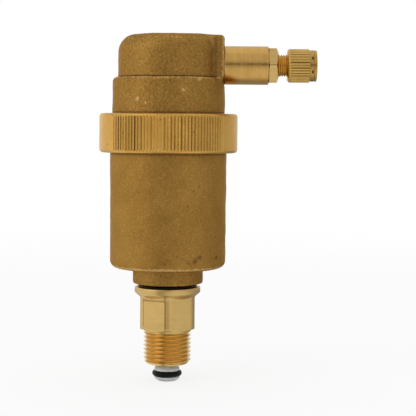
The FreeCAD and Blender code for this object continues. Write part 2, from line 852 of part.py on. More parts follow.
def lever():
    """Bell crank of two arms joined by a web: short arms work the stem, long arms the float."""
    neck_top = lever_short_arm - 1.6 * lever_tip
    neck_bottom = lever_short_arm - stem_collar_radius - guide_fit
    arm_corners = [
        (-lever_tip, lever_short_arm + lever_tip, lever_tip * 0.95),
        (lever_tip, lever_short_arm + lever_tip, lever_tip * 0.95),
        (lever_tip, lever_short_arm - lever_tip, lever_tip * 0.4),
        (lever_neck, neck_top),
        (lever_neck, neck_bottom),
        (lever_hub, lever_hub * 0.6),
        (lever_hub, -lever_hub, lever_hub * 0.8),
        (-lever_long_arm - lever_end, -lever_end, lever_end * 0.9),
        (-lever_long_arm - lever_end, lever_end, lever_end * 0.9),
        (-lever_hub, lever_hub * 0.8, lever_hub * 0.4),
        (-lever_neck, neck_bottom),
        (-lever_neck, neck_top),
        (-lever_tip, lever_short_arm - lever_tip, lever_tip * 0.4),
    ]
    left = plate(arm_corners, -lever_side - lever_thickness, lever_thickness)
    right = plate(arm_corners, lever_side, lever_thickness)
    web_z = -lever_end + lever_web_lift
    web = block((-lever_web_end, -lever_side, web_z),
                (-lever_web_start, lever_side, web_z + lever_web_thickness))
    reach = lever_side + lever_thickness
    pivot_hole = cross_bar(lever_pin_radius + running_fit, 0, 0, reach)
    hook_hole = cross_bar(hook_pin_radius, -lever_long_arm, 0, reach)
    crank = left.fuse([right, web]).cut([pivot_hole, hook_hole])
    crank.rotate(origin, sideways, -math.degrees(lever_swing / 2))
    crank.translate(FreeCAD.Vector(pivot_x, 0, pivot_z))
    return crank


def bracket_side():
    """Distance from the middle plane to the inner face of a bracket cheek."""
    return lever_side + lever_thickness + bracket_cheek_gap


def lever_bracket():
    """Sheet bracket clamped under the seat's flange, with two cheeks for the lever's pin."""
    disc = along_outlet(round_bar(bracket_plate_radius, bracket_x, pad_inner_x))
    margin = bracket_cheek_margin
    top = pivot_z + margin
    under_flange = outlet_z - seat_flange_radius - guide_fit
    corners = [
        (pivot_x - margin, pivot_z - margin, margin * 0.9),
        (pad_inner_x, outlet_z - bracket_plate_radius + guide_fit),
        (pad_inner_x, under_flange),
        (seat_flange_x - guide_fit, under_flange),
        (pivot_x + margin / 2, top),
        (pivot_x - margin, top, margin * 0.9),
    ]
    side = bracket_side()
    left = plate(corners, -side - bracket_cheek_thickness, bracket_cheek_thickness)
    right = plate(corners, side, bracket_cheek_thickness)
    barrel_hole = along_outlet(round_bar(seat_barrel_radius + running_fit, bracket_x, pad_inner_x))
    pin_hole = cross_bar(lever_pin_radius, pivot_x, pivot_z, side + bracket_cheek_thickness)
    return disc.fuse([left, right]).cut([barrel_hole, pin_hole])


def lever_pin():
    """Pivot pin of the lever, headed outside both cheeks."""
    reach = bracket_side() + bracket_cheek_thickness
    shank = cross_bar(lever_pin_radius, pivot_x, pivot_z, reach + lever_pin_head)
    heads = cross_bar(lever_pin_head_radius, pivot_x, pivot_z, reach + lever_pin_head)
    return shank.fuse(heads.cut(cross_bar(lever_pin_head_radius, pivot_x, pivot_z, reach)))


def hook_pin():
    """Pin through the ends of the long arms. The float's hook hangs on it."""
    return cross_bar(hook_pin_radius, hook_x, hook_z, lever_side + lever_thickness + hook_pin_overhang)


def float_shell():
    """Hollow float, open below, where its base is welded in."""
    inner = float_radius - float_wall
    return turned([
        (inner, float_bottom_z),
        (float_radius, float_bottom_z),
        (float_radius, float_top_z, float_round),
        (0, float_top_z),
        (0, float_top_z - float_wall),
        (inner, float_top_z - float_wall, float_round - float_wall),
    ])


def float_base():
    """Base of the float, with a skirt inside the shell."""
    outer = float_radius - float_wall
    inner = outer - float_wall
    skirt_z = float_bottom_z + float_base_skirt
    return turned([
        (0, float_bottom_z),
        (outer, float_bottom_z),
        (outer, skirt_z),
        (inner, skirt_z),
        (inner, float_bottom_z + float_wall),
        (0, float_bottom_z + float_wall),
    ])


def float_hook():
    """Hook on top of the float, with a slot for the lever's pin."""
    foot = round_bar(hook_foot_radius, float_top_z, float_top_z + hook_foot_thickness)
    top = hook_z + hook_pin_radius + hook_crown
    half = hook_width / 2
    blade = plate(
        [
            (-half, float_top_z),
            (half, float_top_z),
            (half, top, hook_edge_round),
            (-half, top, hook_edge_round),
        ],
        -hook_thickness / 2,
        hook_thickness,
    )
    play = hook_pin_radius + hook_slot_play
    slot = block((-play, -hook_thickness, hook_z - hook_pin_radius - hook_slot_play),
                 (play, hook_thickness, hook_z + hook_pin_radius + running_fit))
    hook = foot.fuse(blade).cut(slot)
    hook.translate(FreeCAD.Vector(hook_x, 0, 0))
    return hook


parts = {
    "isolating_valve_body": isolating_valve_body(),
    "isolating_plunger": isolating_plunger(),
    "plunger_oring": ring_seal(plunger_ring_middle, plunger_ring_section, plunger_ring_z),
    "plunger_push_disc": plunger_push_disc(),
    "plunger_spring": plunger_spring(),
    "neck_gasket": ring_seal(neck_ring_middle, neck_ring_section,
                             neck_ring_floor_z + seal_gap / 2 + neck_ring_section / 2),
    "float_chamber": float_chamber(),
    "cover_gasket": cover_gasket(),
    "cover": cover(),
    "ring_nut": ring_nut(),
    "outlet_spigot": outlet_spigot(),
    "spigot_seal": spigot_seal(),
    "outlet_nipple": outlet_nipple(),
    "nipple_washer": nipple_washer(),
    "cap_barrel": cap_barrel(),
    "cap_end_plate": cap_end_plate(),
    "cap_seal_washer": cap_seal_washer(),
    "hygroscopic_discs": hygroscopic_discs(),
    "valve_seat": valve_seat(),
    "valve_stem": valve_stem(),
    "valve_disc": valve_disc(),
    "stem_spring": stem_spring(),
    "spring_clip": spring_clip(),
    "lever_bracket": lever_bracket(),
    "lever": lever(),
    "lever_pin": lever_pin(),
    "hook_pin": hook_pin(),
    "float_shell": float_shell(),
    "float_base": float_base(),
    "float_hook": float_hook(),
}

os.makedirs("parts", exist_ok=True)
for name, shape in parts.items():
    shape.exportStep("parts/" + name + ".step")
    box = shape.BoundBox
    print(f"{name}: {len(shape.Solids)} solids, valid {shape.isValid()}, "
          f"volume {shape.Volume:.1f}, x {box.XMin:.2f}..{box.XMax:.2f}, "
          f"z {box.ZMin:.2f}..{box.ZMax:.2f}")
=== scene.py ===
import math

import bmesh
import bpy
import numpy as np
from mathutils import Matrix, Vector


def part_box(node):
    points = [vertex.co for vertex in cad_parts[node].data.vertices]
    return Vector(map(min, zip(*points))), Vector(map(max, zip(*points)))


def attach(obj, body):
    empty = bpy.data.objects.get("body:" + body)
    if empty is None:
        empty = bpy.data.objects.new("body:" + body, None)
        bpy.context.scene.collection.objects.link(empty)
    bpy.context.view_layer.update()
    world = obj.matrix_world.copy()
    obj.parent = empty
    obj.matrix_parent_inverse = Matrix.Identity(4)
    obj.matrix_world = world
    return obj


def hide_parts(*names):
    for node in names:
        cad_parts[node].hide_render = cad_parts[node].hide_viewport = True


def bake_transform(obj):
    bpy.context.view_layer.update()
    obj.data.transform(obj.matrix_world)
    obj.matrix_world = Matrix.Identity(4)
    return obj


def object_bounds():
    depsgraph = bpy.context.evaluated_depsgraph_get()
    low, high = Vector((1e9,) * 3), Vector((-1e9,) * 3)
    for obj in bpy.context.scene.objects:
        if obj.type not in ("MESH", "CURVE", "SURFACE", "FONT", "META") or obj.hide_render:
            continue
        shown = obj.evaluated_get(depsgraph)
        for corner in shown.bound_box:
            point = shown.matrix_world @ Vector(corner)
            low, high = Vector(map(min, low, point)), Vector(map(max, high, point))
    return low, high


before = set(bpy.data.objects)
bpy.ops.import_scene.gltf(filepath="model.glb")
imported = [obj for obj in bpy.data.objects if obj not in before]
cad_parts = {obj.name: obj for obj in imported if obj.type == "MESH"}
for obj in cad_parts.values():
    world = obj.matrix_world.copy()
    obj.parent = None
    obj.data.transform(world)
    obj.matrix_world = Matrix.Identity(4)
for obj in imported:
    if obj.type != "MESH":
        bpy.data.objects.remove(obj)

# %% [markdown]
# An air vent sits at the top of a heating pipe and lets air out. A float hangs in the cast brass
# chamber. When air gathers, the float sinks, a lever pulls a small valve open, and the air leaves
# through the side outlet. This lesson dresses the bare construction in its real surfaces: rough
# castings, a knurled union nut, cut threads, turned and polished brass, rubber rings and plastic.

mm = 0.001
construction_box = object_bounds()
print("box of the construction:", construction_box)

# %% [markdown]
# Sizes come from the construction wherever it has them. They could be typed in again, but then two
# files would have to be kept the same by hand. A small function reads the corners of a node in
# millimetres, and the names below say which piece they belong to. What the construction doesn't
# give by itself, such as a wall inside a casting, is named in the cell that needs it.


# %% Sizes read from the construction, in millimetres
def corners(node_name):
    """Lowest and highest corner of a node of the construction, in millimetres."""
    low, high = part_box(node_name)
    return np.array(low) / mm, np.array(high) / mm


valve_low, valve_high = corners("isolating_valve_body")
chamber_low, chamber_high = corners("float_chamber")
cover_low, cover_high = corners("cover")
nut_low, nut_high = corners("ring_nut")
spigot_low, spigot_high = corners("outlet_spigot")
nipple_low, nipple_high = corners("outlet_nipple")
barrel_low, barrel_high = corners("cap_barrel")
end_high = corners("cap_end_plate")[1]
plunger_low, plunger_high = corners("isolating_plunger")
ring_low, ring_high = corners("plunger_oring")
gasket_low, gasket_high = corners("neck_gasket")

outlet_z = (spigot_low[2] + spigot_high[2]) / 2
print(f"outlet axis at {outlet_z:.2f} mm, chamber rim at {chamber_high[2]:.2f} mm")

# %% [markdown]
# Most pieces of the vent are turned or cast round, so their mesh is rings of points stacked along
# an outline. Blender's Screw modifier could spin a drawn outline, but rings made by the script can
# also climb with a thread or swell like a casting. An outline is a short list of corners, and a
# corner with a third number is rounded by an arc of that radius. Long straight runs are divided
# where the surface has to be uneven.


# %% Outlines with rounded corners
def rounded_corner(before, here, after, radius, step):
    """Points of the arc that rounds one corner."""
    to_before = (before - here) / np.linalg.norm(before - here)
    to_after = (after - here) / np.linalg.norm(after - here)
    half_angle = math.acos(np.clip(np.dot(to_before, to_after), -1, 1)) / 2
    bisector = (to_before + to_after) / np.linalg.norm(to_before + to_after)
    centre = here + bisector * radius / math.sin(half_angle)
    start = here + to_before * radius / math.tan(half_angle) - centre
    end = here + to_after * radius / math.tan(half_angle) - centre
    sweep = math.pi - 2 * half_angle
    count = max(3, math.ceil(sweep * radius / step))
    points = []
    for index in range(count + 1):
        share = index / count
        turn = np.sin((1 - share) * sweep) * start + np.sin(share * sweep) * end
        points.append(centre + turn / math.sin(sweep))
    return points


def outline(corner_list, step=0.2, run=None):
    """Points along an outline of (radius, height) or (radius, height, rounding) corners."""
    plain = [np.array(corner[:2], float) for corner in corner_list]
    points = []
    for index, corner in enumerate(corner_list):
        if len(corner) == 3:
            points += rounded_corner(plain[index - 1], plain[index], plain[index + 1],
                                     corner[2], step)
        else:
            points.append(plain[index])
    if run is None:
        return np.array(points)
    divided = [points[0]]
    for start, end in zip(points, points[1:]):
        parts = max(1, math.ceil(np.linalg.norm(end - start) / run))
        divided += [start + (end - start) * part / parts for part in range(1, parts + 1)]
    return np.array(divided)


# %% [markdown]
# A ring needs its points where its shape changes. A plain ring spreads them evenly. A hexagon needs
# them close together at its corners and a knurled nut at its grooves, so that the edges come out
# crisp while the rest of the mesh stays light.


# %% Columns: the directions in which a ring has its points
def even_columns(count):
    """Directions spread evenly round the axis, in radians."""
    return np.arange(count) * 2 * math.pi / count


def dense_columns(step, fine_step, places, reach):
    """Directions a coarse step apart, with finer ones within reach of certain places."""
    coarse = np.arange(-180, 180, step)
    fine = [place + offset for place in places
            for offset in np.arange(-reach, reach + fine_step / 2, fine_step)]
    near = [np.abs((coarse - place + 180) % 360 - 180) < reach + step / 3 for place in places]
    kept = coarse[~np.any(near, axis=0)]
    wrapped = (np.concatenate([kept, fine]) + 180) % 360 - 180
    return np.radians(np.unique(np.round(wrapped, 4)))


# %% [markdown]
# A patch is a grid of points. Patches that share an edge are joined by merging points that
# coincide, so a piece can be a plain ring stack here and a screw thread there. A thread's rows
# climb with the helix, which keeps the crest on an edge of the mesh, and are cut off square at
# both ends. The second value of a patch says how many rows up it joins itself after one turn.

# %% Patches and the mesh made from them
same_point, smallest_edge = 0.0005, 0.0002


def turned_patch(points, columns):
    """Rings of points from an outline of (radius, height) points."""
    radius = points[:, 0][:, None]
    height = np.repeat(points[:, 1][:, None], len(columns), axis=1)
    return np.stack([radius * np.cos(columns), radius * np.sin(columns), height], axis=2), 0


def helix_patch(profile, pitch, columns, rows_per_turn=14):
    """Rows that climb with a screw thread up a profile of (radius, height) points."""
    profile = np.array(profile, float)
    low, high = profile[0, 1], profile[-1, 1]
    turns = math.ceil((high - low) / pitch) + 2
    row_height = low - pitch + np.arange(turns * rows_per_turn + 1) * pitch / rows_per_turn
    climb = (columns - columns[0]) / (2 * math.pi) * pitch
    height = np.clip(row_height[:, None] + climb[None, :], low, high)
    radius = np.interp(height, profile[:, 1], profile[:, 0])
    grid = np.stack([radius * np.cos(columns), radius * np.sin(columns), height], axis=2)
    return grid, rows_per_turn


def add_patch(solid, grid, shift):
    """Faces between the rows of a patch, which closes on itself after one turn."""
    rows, columns = grid.shape[:2]
    made = [[solid.verts.new(point) for point in row] for row in grid]
    for row in range(rows - 1):
        for column in range(columns):
            after = (column + 1) % columns
            lift = shift if after == 0 else 0
            if row + 1 + lift >= rows:
                continue
            solid.faces.new((made[row][column], made[row + lift][after],
                             made[row + 1 + lift][after], made[row + 1][column]))


def mesh_from_patches(name, patches):
    """One closed mesh in millimetres from patches whose edges coincide."""
    solid = bmesh.new()
    for grid, shift in patches:
        add_patch(solid, grid, shift)
    bmesh.ops.remove_doubles(solid, verts=solid.verts, dist=same_point)
    bmesh.ops.dissolve_degenerate(solid, edges=solid.edges, dist=smallest_edge)
    wires = [edge for edge in solid.edges if not edge.link_faces]
    bmesh.ops.delete(solid, geom=wires, context="EDGES")
    loose = [vertex for vertex in solid.verts if not vertex.link_faces]
    bmesh.ops.delete(solid, geom=loose, context="VERTS")
    bmesh.ops.recalc_face_normals(solid, faces=solid.faces)
    open_edges = sum(1 for edge in solid.edges if len(edge.link_faces) != 2)
    mesh = bpy.data.meshes.new(name)
    solid.to_mesh(mesh)
    solid.free()
    print(f"{name}: {len(mesh.polygons)} faces, {open_edges} open edges")
    return mesh


def new_object(name, mesh):
    """Object for a mesh, linked to the scene."""
    thing = bpy.data.objects.new(name, mesh)
    bpy.context.scene.collection.objects.link(thing)
    return thing


def build(name, patches):
    """Object whose mesh is made from patches."""
    return new_object(name, mesh_from_patches(name, patches))


# %% [markdown]
# Wear and dirt sit where hands and tools reach, and some painted shade and highlights sit at
# certain edges and corners. The material has to know where that is. It could be painted by hand on
# an image. A number stored on each point of the mesh is simpler to change: it is worked out from
# the point's place, moves with the piece, and the material reads it by name.


# %% Marks stored on the points of a mesh
def points_of(mesh):
    """All points of a mesh as an array."""
    values = np.empty(len(mesh.vertices) * 3, np.float32)
    mesh.vertices.foreach_get("co", values)
    return values.reshape(-1, 3).astype(float)


def axis_distance(points):
    """Distance of points from the upright axis."""
    return np.hypot(points[..., 0], points[..., 1])


def bearing(points):
    """Direction of points round the upright axis, in degrees."""
    return np.degrees(np.arctan2(points[..., 1], points[..., 0]))


def spots(places, marks):
    """Soft round marks, each a centre and a size, as a share for each point."""
    share = np.zeros(len(places))
    for *centre, size in marks:
        away = np.linalg.norm(places - np.array(centre), axis=1)
        share += np.exp(-(away / size) ** 2)
    return share


def line_mark(first_gap, second_gap, spread):
    """Soft mark along a line, from how far points lie from it in two directions."""
    return np.exp(-(first_gap ** 2 + second_gap ** 2) / spread)


def store_on_points(mesh, name, values):
    """Stores one number for each point of a mesh. A plain number goes to all of them."""
    attribute = mesh.attributes.new(name, "FLOAT", "POINT")
    every = np.broadcast_to(values, len(mesh.vertices))
    attribute.data.foreach_set("value", every.astype(np.float32))


# %% [markdown]
# A piece is made upright round the Z axis in millimetres, as a maker thinks of it, and then laid
# down or scaled to metres in its own points. Its object stays at the origin, because the export
# expects that. Riding ties it to a body, replacing hides the node of the construction that it
# stands for, and the slot names its finish.


# %% Handing a piece to the body that carries it
def set_points(mesh, values):
    """Writes all points of a mesh."""
    mesh.vertices.foreach_set("co", values.astype(np.float32).ravel())
    mesh.update()


def lay_along_outlet(mesh):
    """Turns an upright mesh so that its height runs along the outlet."""
    values = points_of(mesh)
    laid = np.stack([values[:, 2], values[:, 1], outlet_z - values[:, 0]], axis=1)
    set_points(mesh, laid)


def finish_mesh(mesh, crease):
    """Scales a mesh to metres and shades it smooth up to a crease angle, in degrees."""
    set_points(mesh, points_of(mesh) * mm)
    mesh.shade_smooth()
    mesh.set_sharp_from_angle(angle=math.radians(crease))


def hand_over(thing, finish, body, node_name, crease=38):
    """Finishes a piece in the place of a node and lets it ride on its body."""
    mesh = thing.data
    finish_mesh(mesh, crease)
    if finish not in [item.name for item in mesh.materials if item]:
        mesh.materials.clear()
        mesh.materials.append(finishes[finish])
    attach(thing, body)
    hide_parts(node_name)
    print(f"{thing.name}: {sum(len(face.vertices) - 2 for face in mesh.polygons)} triangles")


# %% [markdown]
# Threads and knurls repeat by a rule, so geometry nodes make them. A bump in the material would be
# quicker, but the outline of the piece would stay smooth, and that is where a thread shows most.
# Both trees take a turned blank and push its points inwards: the thread by where a point lies on
# the helix, the knurl by how near it is to a groove. Small functions keep the trees readable.


# %% Helpers for node trees
def connect(tree, value, socket):
    """Links a socket to an input, or sets the input to a plain value."""
    if isinstance(value, bpy.types.NodeSocket):
        tree.links.new(value, socket)
    elif value is not None:
        socket.default_value = value


def node(tree, kind, values=(), **settings):
    """Adds a node. Values are given in the order of its inputs, or as (name, value) pairs."""
    made = tree.nodes.new(kind)
    for key, setting in settings.items():
        setattr(made, key, setting)
    for index, value in enumerate(values):
        if isinstance(value, tuple) and len(value) == 2 and isinstance(value[0], str):
            connect(tree, value[1], made.inputs[value[0]])
        else:
            connect(tree, value, made.inputs[index])
    return made


def calculate(tree, operation, *values):
    """A math node's result."""
    return node(tree, "ShaderNodeMath", values, operation=operation).outputs[0]


def plus(tree, first, second):
    """Sum of two values."""
    return calculate(tree, "ADD", first, second)


def minus(tree, first, second):
    """First value less the second."""
    return calculate(tree, "SUBTRACT", first, second)


def times(tree, first, second):
    """Product of two values."""
    return calculate(tree, "MULTIPLY", first, second)


def ramp(tree, value, start, end, low=0.0, high=1.0):
    """Smooth step of a value from low at start to high at end."""
    made = node(tree, "ShaderNodeMapRange", interpolation_type="SMOOTHSTEP")
    for name, setting in (("Value", value), ("From Min", start), ("From Max", end),
                          ("To Min", low), ("To Max", high)):
        connect(tree, setting, made.inputs[name])
    return made.outputs[0]


def geometry_tree(name, inputs):
    """Geometry node tree with named number inputs and a material input."""
    tree = bpy.data.node_groups.new(name, "GeometryNodeTree")
    tree.interface.new_socket("Geometry", in_out="OUTPUT", socket_type="NodeSocketGeometry")
    tree.interface.new_socket("Geometry", in_out="INPUT", socket_type="NodeSocketGeometry")
    for label in inputs:
        tree.interface.new_socket(label, in_out="INPUT", socket_type="NodeSocketFloat")
    tree.interface.new_socket("Material", in_out="INPUT", socket_type="NodeSocketMaterial")
    group_input = tree.nodes.new("NodeGroupInput")
    return tree, group_input.outputs


def close_tree(tree, geometry, material):
    """Ends a geometry tree with real geometry that carries its material."""
    real = node(tree, "GeometryNodeRealizeInstances", (geometry,))
    dressed = node(tree, "GeometryNodeSetMaterial", (real.outputs[0], None, material))
    tree.links.new(dressed.outputs[0], tree.nodes.new("NodeGroupOutput").inputs[0])
    print(f"{tree.name} tree: {len(tree.nodes)} nodes")


def keep_result(thing, modifier):
    """Keeps what a modifier makes of an object as its plain mesh."""
    depsgraph = bpy.context.evaluated_depsgraph_get()
    result = bpy.data.meshes.new_from_object(thing.evaluated_get(depsgraph))
    thing.modifiers.remove(modifier)
    result.name = thing.name
    thing.data = result


def apply_tree(thing, tree, values):
    """Runs a tree on an object with named values, and keeps the result as its plain mesh."""
    modifier = thing.modifiers.new(tree.name, "NODES")
    modifier.node_group = tree
    for item in tree.interface.items_tree:
        if item.in_out == "INPUT" and item.name in values:
            modifier[item.identifier] = values[item.name]
    keep_result(thing, modifier)


# %% [markdown]
# A point's place on a screw is its height counted in pitches, less its share of a turn. The
# fraction of that number runs from 0 to 1 across one groove, so the same few nodes cut every turn.
# A die starts and ends its cut gently, so the groove fades out at both ends of the thread.


# %% The tree that cuts a screw thread
def polar(tree):
    """Coordinates of each point, its distance from the axis and its outward direction."""
    position = node(tree, "GeometryNodeInputPosition").outputs[0]
    parts = node(tree, "ShaderNodeSeparateXYZ", (position,)).outputs
    squares = plus(tree, times(tree, parts[0], parts[0]), times(tree, parts[1], parts[1]))
    radius = calculate(tree, "SQRT", squares)
    flat = node(tree, "ShaderNodeCombineXYZ", (parts[0], parts[1], 0.0)).outputs[0]
    outward = node(tree, "ShaderNodeVectorMath", (flat,), operation="NORMALIZE").outputs[0]
    return parts, radius, outward


def push_inwards(tree, geometry, outward, amount):
    """Moves each point towards the axis by an amount."""
    back = times(tree, amount, -1.0)
    offset = node(tree, "ShaderNodeVectorMath", (outward,), operation="SCALE")
    connect(tree, back, offset.inputs["Scale"])
    return node(tree, "GeometryNodeSetPosition",
                (geometry, ("Offset", offset.outputs[0]))).outputs[0]


def remember(tree, geometry, name, value):
    """Stores a number on each point, for the material to read."""
    made = node(tree, "GeometryNodeStoreNamedAttribute", (geometry,), data_type="FLOAT",
                domain="POINT")
    made.inputs["Name"].default_value = name
    connect(tree, value, made.inputs["Value"])
    return made.outputs[0]


def build_thread_tree():
    """V thread cut into a blank, with small flats at crest and root, and run out at both ends."""
    crest_flat, flank_width, straight, tolerance = 0.07, 0.89, 0.85, 0.01
    tree, given = geometry_tree("Thread", ["Pitch", "Start", "Depth", "Radius", "Low", "High",
                                           "Run-out"])
    parts, radius, outward = polar(tree)
    direction = calculate(tree, "ARCTAN2", parts[1], parts[0])
    climbed = minus(tree, parts[2], given["Start"])
    turns = minus(tree, calculate(tree, "DIVIDE", climbed, given["Pitch"]),
                  calculate(tree, "DIVIDE", direction, 2 * math.pi))
    saw = calculate(tree, "FRACT", turns)
    wave = calculate(tree, "ABSOLUTE", calculate(tree, "MULTIPLY_ADD", saw, 2.0, -1.0))
    flank = calculate(tree, "DIVIDE", minus(tree, wave, crest_flat), flank_width)
    flank = node(tree, "ShaderNodeClamp", (flank, 0.0, 1.0)).outputs[0]
    soft = ramp(tree, flank, 0.0, 1.0)
    crest = plus(tree, times(tree, flank, straight), times(tree, soft, 1 - straight))
    groove = minus(tree, 1.0, crest)
    rise = ramp(tree, parts[2], given["Low"], plus(tree, given["Low"], given["Run-out"]))
    fall = ramp(tree, parts[2], given["High"], minus(tree, given["High"], given["Run-out"]))
    on_blank = calculate(tree, "LESS_THAN", radius, plus(tree, given["Radius"], tolerance))
    share = times(tree, times(tree, rise, fall), on_blank)
    groove = times(tree, groove, share)
    root = minus(tree, given["Radius"], times(tree, groove, given["Depth"]))
    depth = calculate(tree, "MAXIMUM", minus(tree, radius, root), 0.0)
    depth = times(tree, depth, on_blank)
    kept = remember(tree, given["Geometry"], "groove", groove)
    cut = push_inwards(tree, kept, outward, depth)
    close_tree(tree, cut, given["Material"])
    return tree


thread_tree = build_thread_tree()

# %% [markdown]
# A knurl is a row of straight grooves that a wheel presses into the blank. Rounding a point's
# direction to the nearest groove tells how far away that groove is. One could copy a groove round
# the nut with an array instead, but pushing points keeps the mesh closed. A random number with a
# fixed seed makes some grooves shallower, as a worn wheel does.


# %% The tree that presses straight knurls
def build_knurl_tree():
    """Straight grooves a fixed pitch apart, each with its own depth, in front and behind."""
    straight, skin, seed, numbers_behind = 0.4, 0.3, 7, 200.0
    tree, given = geometry_tree("Knurl", ["Pitch", "First", "Count", "Width", "Depth", "Radius",
                                          "Low", "High", "Fade", "Unevenness"])
    parts, radius, outward = polar(tree)
    front = times(tree, calculate(tree, "ABSOLUTE", parts[1]), -1.0)
    direction = calculate(tree, "ARCTAN2", front, parts[0])
    along = calculate(tree, "DIVIDE", minus(tree, direction, given["First"]), given["Pitch"])
    groove_number = calculate(tree, "ROUND", along)
    behind = calculate(tree, "GREATER_THAN", parts[1], 0.0)
    seed_number = calculate(tree, "MULTIPLY_ADD", behind, numbers_behind, groove_number)
    chance = node(tree, "FunctionNodeRandomValue", data_type="FLOAT")
    whole = node(tree, "FunctionNodeFloatToInt", (seed_number,)).outputs[0]
    connect(tree, whole, chance.inputs["ID"])
    chance.inputs["Seed"].default_value = seed
    random_share = chance.outputs[1]
    aside = calculate(tree, "ABSOLUTE", minus(tree, along, groove_number))
    half_width = times(tree, given["Width"], 0.5)
    groove = minus(tree, 1.0, calculate(tree, "DIVIDE", aside, half_width))
    groove = node(tree, "ShaderNodeClamp", (groove, 0.0, 1.0)).outputs[0]
    soft = ramp(tree, groove, 0.0, 1.0)
    groove = plus(tree, times(tree, groove, straight), times(tree, soft, 1 - straight))
    first_on = calculate(tree, "GREATER_THAN", groove_number, -0.5)
    last_on = calculate(tree, "LESS_THAN", groove_number, minus(tree, given["Count"], 0.5))
    rise = ramp(tree, parts[2], given["Low"], plus(tree, given["Low"], given["Fade"]))
    fall = ramp(tree, parts[2], given["High"], minus(tree, given["High"], given["Fade"]))
    away = calculate(tree, "ABSOLUTE", minus(tree, radius, given["Radius"]))
    share = calculate(tree, "LESS_THAN", away, skin)
    for factor in (first_on, last_on, rise, fall):
        share = times(tree, share, factor)
    strength = minus(tree, 1.0, times(tree, random_share, given["Unevenness"]))
    groove = times(tree, times(tree, groove, share), strength)
    kept = remember(tree, given["Geometry"], "groove", groove)
    cut = push_inwards(tree, kept, outward, times(tree, groove, given["Depth"]))
    close_tree(tree, cut, given["Material"])
    return tree


knurl_tree = build_knurl_tree()

# %% [markdown]
# No surface of a real vent is one flat colour. Castings are mottled and grainy, turned faces have
# fine rings, and every brass surface tarnishes unevenly. These effects are shader groups, built
# once and placed in each material with other values. All of them read the piece's own
# coordinates, so they stay put when a piece moves.


# %% Helpers for shader groups and materials
def shader_group(name, inputs, outputs):
    """Shader node group with named inputs, as (name, kind, default), and named outputs."""
    tree = bpy.data.node_groups.new(name, "ShaderNodeTree")
    for label, kind, default in inputs:
        socket = tree.interface.new_socket(label, in_out="INPUT", socket_type="NodeSocket" + kind)
        socket.default_value = default
    for label, kind in outputs:
        tree.interface.new_socket(label, in_out="OUTPUT", socket_type="NodeSocket" + kind)
    return tree, tree.nodes.new("NodeGroupInput").outputs, tree.nodes.new("NodeGroupOutput").inputs


def mix_colour(tree, share, first, second, blend="MIX"):
    """Mix of two colours by a share. The Mix node's sockets 6 and 7 are its two colours."""
    made = node(tree, "ShaderNodeMix", data_type="RGBA", blend_type=blend)
    connect(tree, share, made.inputs[0])
    connect(tree, first, made.inputs[6])
    connect(tree, second, made.inputs[7])
    return made.outputs[2]


def shaded(tree, base, shade):
    """Colour multiplied by a brightness."""
    grey = node(tree, "ShaderNodeCombineColor", (shade, shade, shade)).outputs[0]
    return mix_colour(tree, 1.0, base, grey, "MULTIPLY")


def noise(tree, vector, scale, detail=3.0, roughness=0.55):
    """Noise value, 0 to 1."""
    made = node(tree, "ShaderNodeTexNoise")
    for label, value in (("Vector", vector), ("Scale", scale), ("Detail", detail),
                         ("Roughness", roughness)):
        connect(tree, value, made.inputs[label])
    return made.outputs[0]


def own_coordinates(tree):
    """The piece's own coordinates, in metres."""
    return node(tree, "ShaderNodeTexCoord").outputs["Object"]


def colour(red, green, blue):
    """Colour as the eye sees it, 0 to 255, turned into the linear value that a shader takes."""
    linear = []
    for part in (red, green, blue):
        value = part / 255
        linear.append(value / 12.92 if value <= 0.04045 else ((value + 0.055) / 1.055) ** 2.4)
    return (*linear, 1.0)


# %% [markdown]
# A sand casting takes on the grain of its mould. Noise of three sizes gives cloudy patches, clumps
# and single grains, and the cells of a Voronoi texture give a few round pits. A photograph of a
# casting could be wrapped round the piece, but it would show a seam and repeat itself.


# %% Group: grain of a casting
def build_casting_group():
    """Mottled patches, bright flecks and dark pits, with the height that they give the skin."""
    tree, given, out = shader_group(
        "Casting grain",
        [("Light", "Color", (0.5, 0.3, 0.1, 1)), ("Dark", "Color", (0.3, 0.15, 0.05, 1)),
         ("Fleck", "Color", (0.8, 0.6, 0.3, 1)), ("Grain", "Float", 1500.0),
         ("Fleck share", "Float", 0.5), ("Roughness", "Float", 0.5)],
        [("Colour", "Color"), ("Roughness", "Float"), ("Height", "Float")])
    place = own_coordinates(tree)
    patches = noise(tree, place, 75.0, detail=5.0, roughness=0.6)
    patch_share = ramp(tree, patches, 0.3, 0.7)
    sand = noise(tree, place, given["Grain"], detail=3.0, roughness=0.6)
    clumps = noise(tree, place, 500.0, detail=3.0)
    flecks = ramp(tree, calculate(tree, "MULTIPLY_ADD", clumps, 0.25, sand), 0.68, 0.82)
    flecks = times(tree, flecks, given["Fleck share"])
    cells = node(tree, "ShaderNodeTexVoronoi", (place,), feature="F1")
    cells.inputs["Scale"].default_value = 430.0
    pit_round = ramp(tree, cells.outputs["Distance"], 0.26, 0.1)
    pick = node(tree, "ShaderNodeSeparateColor", (cells.outputs["Color"],)).outputs[0]
    pits = times(tree, pit_round, ramp(tree, pick, 0.93, 0.97))
    base = mix_colour(tree, patch_share, given["Dark"], given["Light"])
    shade = ramp(tree, sand, 0.3, 0.72, 0.86, 1.08)
    base = shaded(tree, base, shade)
    base = mix_colour(tree, flecks, base, given["Fleck"])
    base = mix_colour(tree, times(tree, pits, 0.45), base, (0.05, 0.028, 0.01, 1))
    tree.links.new(base, out["Colour"])
    rough = calculate(tree, "MULTIPLY_ADD", sand, 0.12, given["Roughness"])
    rough = minus(tree, rough, times(tree, flecks, 0.08))
    tree.links.new(rough, out["Roughness"])
    height = calculate(tree, "MULTIPLY_ADD", clumps, 0.4, sand)
    height = minus(tree, height, times(tree, pits, 0.9))
    tree.links.new(height, out["Height"])
    return tree


# %% [markdown]
# A lathe tool leaves rings so fine that they only show as a play of light. They are noise that is
# squeezed along the tool's way, so its spots become long lines. Modelled rings would need millions
# of faces for the same look.


